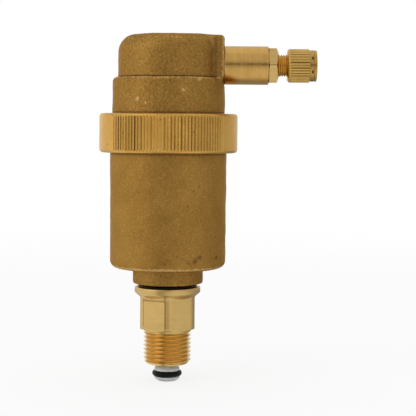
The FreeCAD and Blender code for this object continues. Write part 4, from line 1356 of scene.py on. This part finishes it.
def cover_rooms(columns):
    """Grid of points from the flange down over the register and up into both rooms."""
    flange, register, lower_wall, upper_wall, at_pad = cover_high[1], 23.0, 21.5, 19.6, 18.5
    register_z, room_z, ceiling_z = cover_low[2], shoulder_top - 3.4, cover_top - 2.8
    lower = outline([
        (shoulder_foot, flange_top), (flange, flange_top), (flange, register_z + 3.0),
        (register, register_z + 3.0), (register, register_z), (lower_wall, register_z),
        (lower_wall, room_z, 1.5), (upper_wall, room_z),
    ], step=0.4)
    upper = outline([(upper_wall, room_z), (upper_wall, ceiling_z, 1.5), (0, ceiling_z)], step=0.4)
    rooms, _ = turned_patch(np.concatenate([lower, upper[1:]]), columns)
    in_upper = np.arange(len(rooms)) >= len(lower) - 1
    towards_pad = np.cos(columns)
    limit = np.where(towards_pad > 0.05, at_pad / np.maximum(towards_pad, 0.05), unlimited)
    cut = np.minimum(1, limit / np.maximum(axis_distance(rooms), 1e-6))
    rooms[:, :, :2] *= np.where(in_upper[:, None], cut, 1)[:, :, None]
    return rooms


def outlet_bores():
    """Cutter for the bores: the hole into the room, the spigot's seat and the face on the pad."""
    clearance, seat, socket, face = 7.8, 6.58, 7.7, 9.3
    bores = outline([
        (0, 14.0), (clearance, 14.0), (clearance, 18.5), (seat, 18.5), (seat, 22.9),
        (socket, 22.9), (socket, pad_face), (face, pad_face), (face, 32.0), (0, 32.0),
    ])
    cutter = build("bores", [turned_patch(bores, even_columns(120))])
    lay_along_outlet(cutter.data)
    return cutter


# %% Cover: marks and assembly
def cover_marks(mesh):
    """Rubs, knocks and painted highlights on edges, painted shade in corners and by the pad, a few
    specks.
    """
    places = points_of(mesh)
    radius, height = axis_distance(places), places[:, 2]
    across = np.abs(places[:, 1])
    # The pale lines on the shoulder's edge and the pad's front edge are partly rubbed and partly
    # painted highlight; the broad one on the cap's top edge is a painted sheen.
    rub_and_highlight = line_mark(radius - 24.1, height - shoulder_top + 0.4, 0.35)
    rub_and_highlight += line_mark(radius - 20.4, height - cover_top + 1.5, 3.0) * 0.5
    rub_and_highlight += line_mark(places[:, 0] - 24.0, across - 9.5, 0.5)
    # Scuffs from handling; the third, on the shoulder's edge, is a painted highlight.
    rub_and_highlight += spots(places, [
        (7.3, -23.7, 104.8, 1.1), (-12.6, -21.3, 100.5, 1.3), (14.0, -20.3, 109.6, 1.0),
        (-9.0, -23.0, 99.4, 0.8), (16.5, 17.5, 103.0, 1.2), (-14.0, 19.8, 98.5, 1.0),
    ])
    # Painted shade: a line in the corner at the cap's foot, a line on the shoulder just above the
    # nut and a band in the blend beside the pad.
    stain_and_shade = line_mark(radius - 22.6, height - shoulder_top - 0.25, 0.2)
    stain_and_shade += line_mark(radius - 24.9, height - nut_high[2] - 0.3, 0.35)
    beside_pad = line_mark(places[:, 0] - 20.6, across - 10.4, 1.6)
    stain_and_shade += beside_pad * (height > shoulder_top) * 0.75
    # Dark pits and specks.
    stain_and_shade += spots(places, [(-20.6, -8.2, 119.2, 0.5), (-9.5, -20.3, 116.0, 0.35),
                            (8.0, -23.7, 98.6, 0.4), (3.5, 22.1, 121.0, 0.5)])
    store_on_points(mesh, "rub_and_highlight", np.clip(rub_and_highlight, 0, 1))
    store_on_points(mesh, "stain_and_shade", np.clip(stain_and_shade, 0, 1))
    store_on_points(mesh, "grit", 1.0)


def cover():
    """Cover casting with its pad, flange, register, inner rooms and the outlet's bores."""
    columns = dense_columns(step=1.3, fine_step=0.42, places=[0.0], reach=33.0)
    casting = build("cover_casting", [(cover_skin(columns), 0), (cover_rooms(columns), 0)])
    combine(casting, outlet_bores(), "DIFFERENCE")
    cover_marks(casting.data)
    hand_over(casting, "cast_brass", "cover", "cover")


cover()

# %% [markdown]
# The union nut clamps the cover to the chamber. It is knurled in front and behind and left smooth
# at both sides, where a tool grips it. Its blank is turned, the tumbling dents it by hairs, and
# the knurl tree presses the grooves into it.


# %% Union nut
def union_nut():
    """Turned blank with straight knurls in front and behind."""
    pitch, count = 2.77, 37
    first = -90 - pitch * (count - 1) / 2 + 1.6
    radius, low, high = nut_high[0], nut_low[2], nut_high[2]
    groove_places = [first + pitch * number for number in range(count)]
    groove_places += [-place for place in groove_places]
    columns = dense_columns(step=2.0, fine_step=0.231, places=groove_places, reach=1.39)
    bore, lip, bevel, lip_low = 27.58, 25.15, 0.8, high - 3.2
    blank = outline([
        (bore + bevel, low), (radius, low, 1.5), (radius, high, 1.5), (lip, high, 0.2),
        (lip, lip_low), (bore, lip_low), (bore, low + bevel), (bore + bevel, low),
    ], step=0.22, run=0.7)
    grid, _ = turned_patch(blank, columns)
    outer = np.clip(axis_distance(grid) - 29.0, 0, 1)
    grid = push_outwards(grid, -np.abs(swelling(grid, seed=31, size=7.0, depth=0.03)) * outer)
    nut = build("union_nut", [(grid, 0)])
    direction = bearing(points_of(nut.data))
    # How much darker each stretch of the grooves is, by direction: partly dirt, partly painted
    # shade, lighter at the front.
    groove_dirt_and_shade = [(-133, 6, 0.85), (-116, 5.5, 1.2), (-97, 7, -0.25), (-74, 11, 0.42), (-58, 8, 0.35),
             (-43, 5, 0.45), (62, 9, 0.6), (108, 5, 0.8)]
    store_on_points(nut.data, "soil_and_shade", sum(
        strength * np.exp(-((direction - place) / width) ** 2)
        for place, width, strength in groove_dirt_and_shade))
    apply_tree(nut, knurl_tree, {
        "Pitch": math.radians(pitch), "First": math.radians(first), "Count": float(count),
        "Width": 0.86, "Depth": 0.5, "Radius": radius, "Low": low + 0.7, "High": high - 0.7,
        "Fade": 0.9, "Unevenness": 0.25, "Material": finishes["forged_brass"]})
    hand_over(nut, "forged_brass", "union_nut", "ring_nut", crease=50)


union_nut()

# %% [markdown]
# The outlet is a row of turned pieces along one axis. They are made upright, like all turned
# pieces here, and laid down at the end. The first is the tube that is screwed into the pad.


# %% Outlet spigot
def spigot():
    """Turned tube with a stub in the pad, a small chamfer and a threaded socket."""
    start, end = spigot_low[0], spigot_high[0]
    radius, stub, passage, socket = spigot_high[1], 6.5, 4.05, 5.08
    socket_floor = nipple_low[0] - 0.8
    tube = outline([
        (passage, start), (stub, start, 0.2), (stub, pad_face), (radius, pad_face, 0.12),
        (radius, end - 0.6, 0.2), (radius - 0.6, end, 0.15), (socket, end),
        (socket, socket_floor), (passage, socket_floor), (passage, start),
    ], step=0.06, run=1.2)
    piece = build("spigot", [turned_patch(tube, even_columns(180))])
    lay_along_outlet(piece.data)
    hand_over(piece, "turned_brass", "cover", "outlet_spigot")


spigot()

# %% [markdown]
# The nipple has a hexagon for the spanner and a thread that the cap runs on. Its outer face is
# turned to a cone, which leaves the curved chamfer lines that every bought hexagon shows. The
# rings of the hexagon are the same as on the isolating valve, so the function is used again.


# %% Outlet nipple
def nipple():
    """Hexagon with a chamfered outer face, and the thread that the cap runs on."""
    flats, pitch, thread_radius, bore, tip = 15.0, 1.0, 5.0, 2.5, 4.5
    corner = flats / 2 / math.cos(math.pi / 6) - 0.12
    low, start, end = nipple_low[0], spigot_high[0], nipple_high[0]
    hexagon_end = start + 4.1
    neck_end = hexagon_end + 0.2
    corner_places = [-90 + 60 * side for side in range(6)]
    columns = dense_columns(step=3.0, fine_step=0.5, places=corner_places, reach=4.0)
    tail = outline([(bore, low), (thread_radius, low, 0.3), (thread_radius, start),
                    (flats / 2 - 0.4, start)], step=0.1)
    first = [(start, flats / 2 - 0.4), (start, corner - 0.1), (start + 0.08, corner)]
    face_radius, cone = flats / 2 - 1.2, 1.0
    last = [(hexagon_end - cone * (1 - share), corner + (face_radius - corner) * share)
            for share in np.linspace(0, 1, 14)]
    last.append((hexagon_end, thread_radius + 0.2))
    neck = outline([(thread_radius + 0.2, hexagon_end), (thread_radius, neck_end)], step=0.1)
    blank = [(thread_radius, neck_end), (thread_radius, end - 0.6), (tip, end)]
    piece = build("nipple", [
        turned_patch(tail, columns),
        hexagon_patch(hexagon_radius(columns, flats, 0.0), columns, first + last),
        turned_patch(neck, columns),
        helix_patch(blank, pitch, columns, 12),
        turned_patch(outline([(tip, end), (bore, end), (bore, low)], step=0.1), columns),
    ])
    apply_tree(piece, thread_tree, {
        "Pitch": pitch, "Start": 0.0, "Depth": 0.62, "Radius": thread_radius,
        "Low": hexagon_end + 0.1, "High": end + 0.6, "Run-out": 0.6,
        "Material": finishes["polished_brass"]})
    lay_along_outlet(piece.data)
    hand_over(piece, "polished_brass", "cover", "outlet_nipple", crease=30)


nipple()

# %% [markdown]
# The cap's end has seven slots through which the air leaves. They are milled one after another
# with a dividing head, and a short tree does the same: it sets copies of one cutter round the axis
# by a fixed step, and one boolean takes them all out.


# %% The tree that sets copies round the axis
def build_dividing_tree():
    """Copies of a mesh round the upright axis, a fixed angle apart."""
    tree, given = geometry_tree("Dividing head", ["Count", "First", "Step"])
    marks = node(tree, "GeometryNodePoints", (given["Count"],)).outputs[0]
    number = node(tree, "GeometryNodeInputIndex").outputs[0]
    angle = calculate(tree, "MULTIPLY_ADD", number, given["Step"], given["First"])
    angles = node(tree, "ShaderNodeCombineXYZ", (0.0, 0.0, angle)).outputs[0]
    turn = node(tree, "FunctionNodeEulerToRotation", (angles,)).outputs[0]
    copies = node(tree, "GeometryNodeInstanceOnPoints",
                  (marks, ("Instance", given["Geometry"]), ("Rotation", turn)))
    close_tree(tree, copies.outputs[0], given["Material"])
    return tree


dividing_tree = build_dividing_tree()


# %% Cap: knurled barrel and slotted end
def cap_barrel():
    """Knurled barrel with an inner shoulder."""
    start, end, radius = barrel_low[0], barrel_high[0], barrel_high[1]
    grooves, bore, cup_bore, shoulder = 36, 5.08, 5.9, start + 7.88
    pitch = 360 / grooves
    places = [pitch * number for number in range(grooves)]
    columns = dense_columns(step=pitch / 2, fine_step=1.0, places=places, reach=4.0)
    blank = outline([
        (bore, start), (radius - 0.75, start, 0.2), (radius, start + 0.7, 0.4),
        (radius, end, 0.3), (cup_bore, end), (cup_bore, shoulder), (bore, shoulder),
        (bore, start),
    ], step=0.1, run=0.45)
    barrel = build("cap_barrel_knurled", [turned_patch(blank, columns)])
    apply_tree(barrel, knurl_tree, {
        "Pitch": math.radians(pitch), "First": -math.pi, "Count": grooves + 1.0, "Width": 0.66,
        "Depth": 0.42, "Radius": radius, "Low": start + 0.7, "High": end + 0.5, "Fade": 0.5,
        "Unevenness": 0.3, "Material": finishes["cap_brass"]})
    lay_along_outlet(barrel.data)
    hand_over(barrel, "cap_brass", "cap", "cap_barrel", crease=45)


def cap_end():
    """Closed end with a turned ring near its face and with the slots that let the air out."""
    start, rim, far = barrel_high[0], end_high[1], end_high[0]
    room, ring = rim - 1.2, rim - 0.16
    cup_outline = outline([
        (room, start), (rim, start), (rim, far - 1.45, 0.1), (ring, far - 1.33, 0.06),
        (ring, far - 1.2, 0.06), (rim, far - 1.08, 0.1), (rim, far, 0.35), (0, far),
        (0, far - 1.0), (room, far - 1.0), (room, start),
    ], step=0.08)
    cup = build("cap_end", [turned_patch(cup_outline, even_columns(144))])
    slots, turn, half = 7, 24.5, 0.75
    cutters = rounded_block("slots", (4.0, -half, start + 0.9), (9.0, half, start + 1.55), 0.12)
    apply_tree(cutters, dividing_tree, {
        "Count": float(slots), "First": math.radians(turn - 90), "Step": 2 * math.pi / slots,
        "Material": finishes["cap_brass"]})
    combine(cup, cutters, "DIFFERENCE")
    store_on_points(cup.data, "mark", 0.5)
    lay_along_outlet(cup.data)
    hand_over(cup, "cap_brass", "cap", "cap_end_plate")


cap_barrel()
cap_end()

# %% [markdown]
# The springs stretch and shorten when the plunger and the stem move. Each is a wire that follows a
# helix, which a short node tree draws.


# %% The tree that winds a spring
def build_spring_tree():
    """Round wire along a helix."""
    tree, given = geometry_tree("Spring", ["Middle", "Wire", "Turns", "Low", "High"])
    coil = node(tree, "GeometryNodeCurveSpiral")
    coil.inputs["Resolution"].default_value = 40
    for label in ("Start Radius", "End Radius"):
        connect(tree, given["Middle"], coil.inputs[label])
    connect(tree, given["Turns"], coil.inputs["Rotations"])
    span = minus(tree, minus(tree, given["High"], given["Low"]), given["Wire"])
    connect(tree, span, coil.inputs["Height"])
    section = node(tree, "GeometryNodeCurvePrimitiveCircle")
    section.inputs["Resolution"].default_value = 14
    connect(tree, times(tree, given["Wire"], 0.5), section.inputs["Radius"])
    wire = node(tree, "GeometryNodeCurveToMesh", (coil.outputs[0], section.outputs[0]))
    wire.inputs["Fill Caps"].default_value = True
    lift = calculate(tree, "MULTIPLY_ADD", given["Wire"], 0.5, given["Low"])
    place = node(tree, "ShaderNodeCombineXYZ", (0.0, 0.0, lift)).outputs[0]
    moved = node(tree, "GeometryNodeTransform", (wire.outputs[0],))
    connect(tree, place, moved.inputs["Translation"])
    close_tree(tree, moved.outputs[0], given["Material"])
    return tree


spring_tree = build_spring_tree()


# %% The two springs
def spring(name, node_name, laid, middle, wire, turns):
    """Spring in the place of a node."""
    low, high = corners(node_name)
    axis = 0 if laid else 2
    piece = new_object(name, bpy.data.meshes.new(name))
    apply_tree(piece, spring_tree, {
        "Middle": middle, "Wire": wire, "Turns": float(turns), "Low": low[axis],
        "High": high[axis], "Material": finishes["stainless_steel"]})
    start, end = np.zeros(3), np.zeros(3)
    if laid:
        lay_along_outlet(piece.data)
        start[2] = end[2] = outlet_z
    finish_mesh(piece.data, crease=50)
    start[axis], end[axis] = low[axis] + wire, high[axis] - wire
    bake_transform(piece)
    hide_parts(node_name)
    print(f"{name}: {len(piece.data.polygons)} faces")


spring("plunger_spring_wound", "plunger_spring", laid=False, middle=6.4, wire=0.8, turns=5)
spring("stem_spring_wound", "stem_spring", laid=True, middle=2.4, wire=0.5, turns=5)

# %% [markdown]
# The pieces inside stay as constructed, because they are plain shapes that nobody sees from
# outside. Each gets the finish that is listed for it below.

# %% Finishes of the inner pieces
inner_finishes = {
    "stainless_steel": ["lever", "lever_bracket", "lever_pin", "hook_pin", "valve_stem",
                        "spring_clip"],
    "turned_brass": ["valve_seat"],
    "black_rubber": ["cover_gasket", "spigot_seal", "valve_disc", "cap_seal_washer"],
    "white_plastic": ["plunger_push_disc"],
    "float_plastic": ["float_shell", "float_base", "float_hook"],
    "seal_fibre": ["nipple_washer", "hygroscopic_discs"],
}
for finish, names in inner_finishes.items():
    for name in names:
        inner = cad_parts[name]
        inner.data.materials.clear()
        inner.data.materials.append(finishes[finish])
    print(f"{finish}: {len(names)} inner pieces")

# %% [markdown]
# The vent stands in a white studio. The floor and the world are white to the camera and to
# reflections, and the light on the object itself stays plain. Polished brass looks like what
# surrounds it, so the tent is not even: bright panels at both sides, a dark gap where the camera
# stands, and dimmer cloth at the right. A colour ramp holds these levels by direction.

# %% Studio: what stands round the vent
white, glossy_gain = (1, 1, 1, 1), 0.28
tent_levels = [(-180, 0.92), (-140, 0.88), (-120, 0.90), (-92, 0.88), (-78, 1.0), (-54, 1.0),
               (-42, 0.88), (-31, 0.58), (-14, 0.49), (4, 0.50), (16, 0.60), (28, 0.72),
               (38, 0.76), (50, 0.70), (60, 0.58), (92, 0.52), (125, 0.60), (155, 0.70),
               (180, 0.95)]
# Levels that reflections see on the floor: painted shade behind the vent and towards the outlet's
# side, and a painted dark streak in front.
floor_shade_levels = [(-180, 0.22), (-150, 0.50), (-120, 0.85), (-92, 0.88), (-70, 0.88), (-50, 0.84),
                (-38, 0.76), (-32, 0.40), (-12, 0.40), (-6, 0.66), (10, 0.78), (30, 0.84),
                (60, 0.80), (80, 0.62), (100, 0.42), (140, 0.26), (180, 0.22)]


def azimuth_of(tree, parts):
    """Direction to the right of the vent's front, from a position's coordinates."""
    return calculate(tree, "ARCTAN2", parts[0], times(tree, parts[1], -1.0))


def by_direction(tree, azimuth, levels):
    """Brightness by direction, read from a list of (degrees, level)."""
    turned = node(tree, "ShaderNodeMapRange", (azimuth,))
    turned.inputs["From Min"].default_value = -math.pi
    turned.inputs["From Max"].default_value = math.pi
    ring = node(tree, "ShaderNodeValToRGB", (turned.outputs[0],))
    stops = ring.color_ramp.elements
    while len(stops) < len(levels):
        stops.new(0.5)
    for stop, (direction, level) in zip(stops, levels):
        stop.position = (direction + 180) / 360
        stop.color = (level, level, level, 1.0)
    return ring.outputs[0]


# %% [markdown]
# The floor catches the vent's soft shadow. It glows white for the camera, and towards its rim it
# fades out, so no horizon line crosses the picture. Reflections see it by direction: painted shade
# behind the vent and towards the outlet's side, and a painted dark streak in front that continues
# the tent's dark gap.


# %% Studio: floor
def studio_floor():
    """Round white floor that fades into the background."""
    bottom, reach, glow_share = construction_box[0][2], 1.6, 0.8
    fade_start, fade_end = 0.25, 0.9
    bpy.ops.mesh.primitive_circle_add(vertices=96, radius=reach, fill_type="NGON",
                                      location=(0.0, 0.0, bottom))
    floor = bpy.context.object
    floor.name = "floor"
    material, tree, shader = new_material("studio_floor")
    tree.nodes.remove(shader)
    place = own_coordinates(tree)
    grain = noise(tree, place, 40.0, detail=2.0)
    diffuse = node(tree, "ShaderNodeBsdfDiffuse")
    connect(tree, mix_colour(tree, grain, (0.86, 0.86, 0.86, 1), (0.88, 0.88, 0.88, 1)),
            diffuse.inputs["Color"])
    path = node(tree, "ShaderNodeLightPath").outputs
    parts = node(tree, "ShaderNodeSeparateXYZ", (place,)).outputs
    # Reflections see the floor's painted shade by direction.
    reflected_floor_shade = by_direction(tree, azimuth_of(tree, parts), floor_shade_levels)
    shown = mix_colour(tree, path["Is Glossy Ray"], white, reflected_floor_shade)
    glow = node(tree, "ShaderNodeEmission", (shown,))
    strength = calculate(tree, "MULTIPLY_ADD", path["Is Glossy Ray"], glossy_gain, 1.0)
    connect(tree, strength, glow.inputs["Strength"])
    seen = calculate(tree, "MAXIMUM", path["Is Camera Ray"], path["Is Glossy Ray"])
    seen = calculate(tree, "MAXIMUM", seen, path["Is Transmission Ray"])
    share = times(tree, seen, glow_share)
    lit = node(tree, "ShaderNodeMixShader", (share, diffuse.outputs[0], glow.outputs[0]))
    clear = node(tree, "ShaderNodeBsdfTransparent")
    distance = node(tree, "ShaderNodeVectorMath", (place,), operation="LENGTH").outputs["Value"]
    fade = ramp(tree, distance, fade_start, fade_end)
    ending = node(tree, "ShaderNodeMixShader", (fade, lit.outputs[0], clear.outputs[0]))
    tree.links.new(ending.outputs[0], tree.nodes["Material Output"].inputs[0])
    floor.data.materials.append(material)
    print(f"floor at {bottom / mm:.2f} mm")


studio_floor()

# %% [markdown]
# The world is white to the camera, while reflections see the tent with its roof and the dark shape
# that stands where the camera is. Planes with lights behind them could build the same tent, but
# they would be in the way of every other view.


# %% Studio: world
def studio_world():
    """White to the camera. Reflections see the tent."""
    roof_grey, shape_grey = (0.66, 0.66, 0.66, 1), (0.03, 0.03, 0.03, 1)
    shape_side, shape_height = math.radians(5), 0.1
    world = bpy.data.worlds.new("studio")
    bpy.context.scene.world = world
    world.use_nodes = True
    tree = world.node_tree
    tree.nodes.clear()
    direction = node(tree, "ShaderNodeTexCoord").outputs["Generated"]
    parts = node(tree, "ShaderNodeSeparateXYZ", (direction,)).outputs
    roof = ramp(tree, parts[2], 0.15, 0.6)
    azimuth = azimuth_of(tree, parts)
    tent = mix_colour(tree, roof, by_direction(tree, azimuth, tent_levels), roof_grey)
    aside = calculate(tree, "ABSOLUTE", minus(tree, azimuth, shape_side))
    lift = calculate(tree, "ABSOLUTE", minus(tree, parts[2], shape_height))
    shape = times(tree, ramp(tree, aside, math.radians(12), math.radians(7)),
                  ramp(tree, lift, 0.14, 0.08))
    tent = mix_colour(tree, shape, tent, shape_grey)
    path = node(tree, "ShaderNodeLightPath").outputs
    direct = calculate(tree, "MAXIMUM", path["Is Camera Ray"], path["Is Transmission Ray"])
    background = node(tree, "ShaderNodeBackground", (mix_colour(tree, direct, tent, white),))
    strength = calculate(tree, "MULTIPLY_ADD", direct, -glossy_gain, 1 + glossy_gain)
    connect(tree, strength, background.inputs["Strength"])
    output = tree.nodes.new("ShaderNodeOutputWorld")
    tree.links.new(background.outputs[0], output.inputs[0])
    print(f"{world.name} world: {len(tent_levels)} levels")


studio_world()

# %% [markdown]
# Two large lamps give the soft light. The first stands high at the left in front and shapes the
# round bodies, and the second lightens the tops.


# %% Studio: lamps
def lamp(name, place, target, size, power):
    """Square area lamp that points at a target."""
    light = bpy.data.lights.new(name, "AREA")
    light.size = size
    light.energy = power
    thing = bpy.data.objects.new(name, light)
    thing.location = place
    aim = Vector(target) - Vector(place)
    thing.rotation_euler = aim.to_track_quat("-Z", "Y").to_euler()
    bpy.context.scene.collection.objects.link(thing)
    print(f"{name} lamp: {power} W")


lamp("key", place=(-0.8, -0.6, 0.9), target=(0, 0, 0.06), size=0.9, power=2.0)
lamp("top", place=(0.1, 0.2, 1.1), target=(0, 0, 0.06), size=1.0, power=0.6)

# %% [markdown]
# The camera stands about half a metre away, a little above the middle, and looks slightly down, as
# in the photograph. A small shift of the lens keeps the upright edges upright.


# %% Studio: camera
def camera():
    """Camera at the photograph's place, slightly above the middle and looking a little down."""
    place = Vector((0.01876, -0.5590, 0.0907))
    down, aside, roll = math.radians(1.927), math.radians(-0.123), math.radians(0.432)
    view = bpy.data.cameras.new("camera")
    view.sensor_width = 36.0
    view.lens = 109.44
    view.shift_y = -0.101
    thing = bpy.data.objects.new("camera", view)
    aim = Matrix.Rotation(-aside, 4, "Z") @ Matrix.Rotation(math.radians(90) - down, 4, "X")
    thing.matrix_world = Matrix.Translation(place) @ aim @ Matrix.Rotation(roll, 4, "Z")
    bpy.context.scene.collection.objects.link(thing)
    bpy.context.scene.camera = thing
    print("camera at", [round(value, 3) for value in place])


camera()
bpy.context.scene.view_settings.view_transform = "Standard"
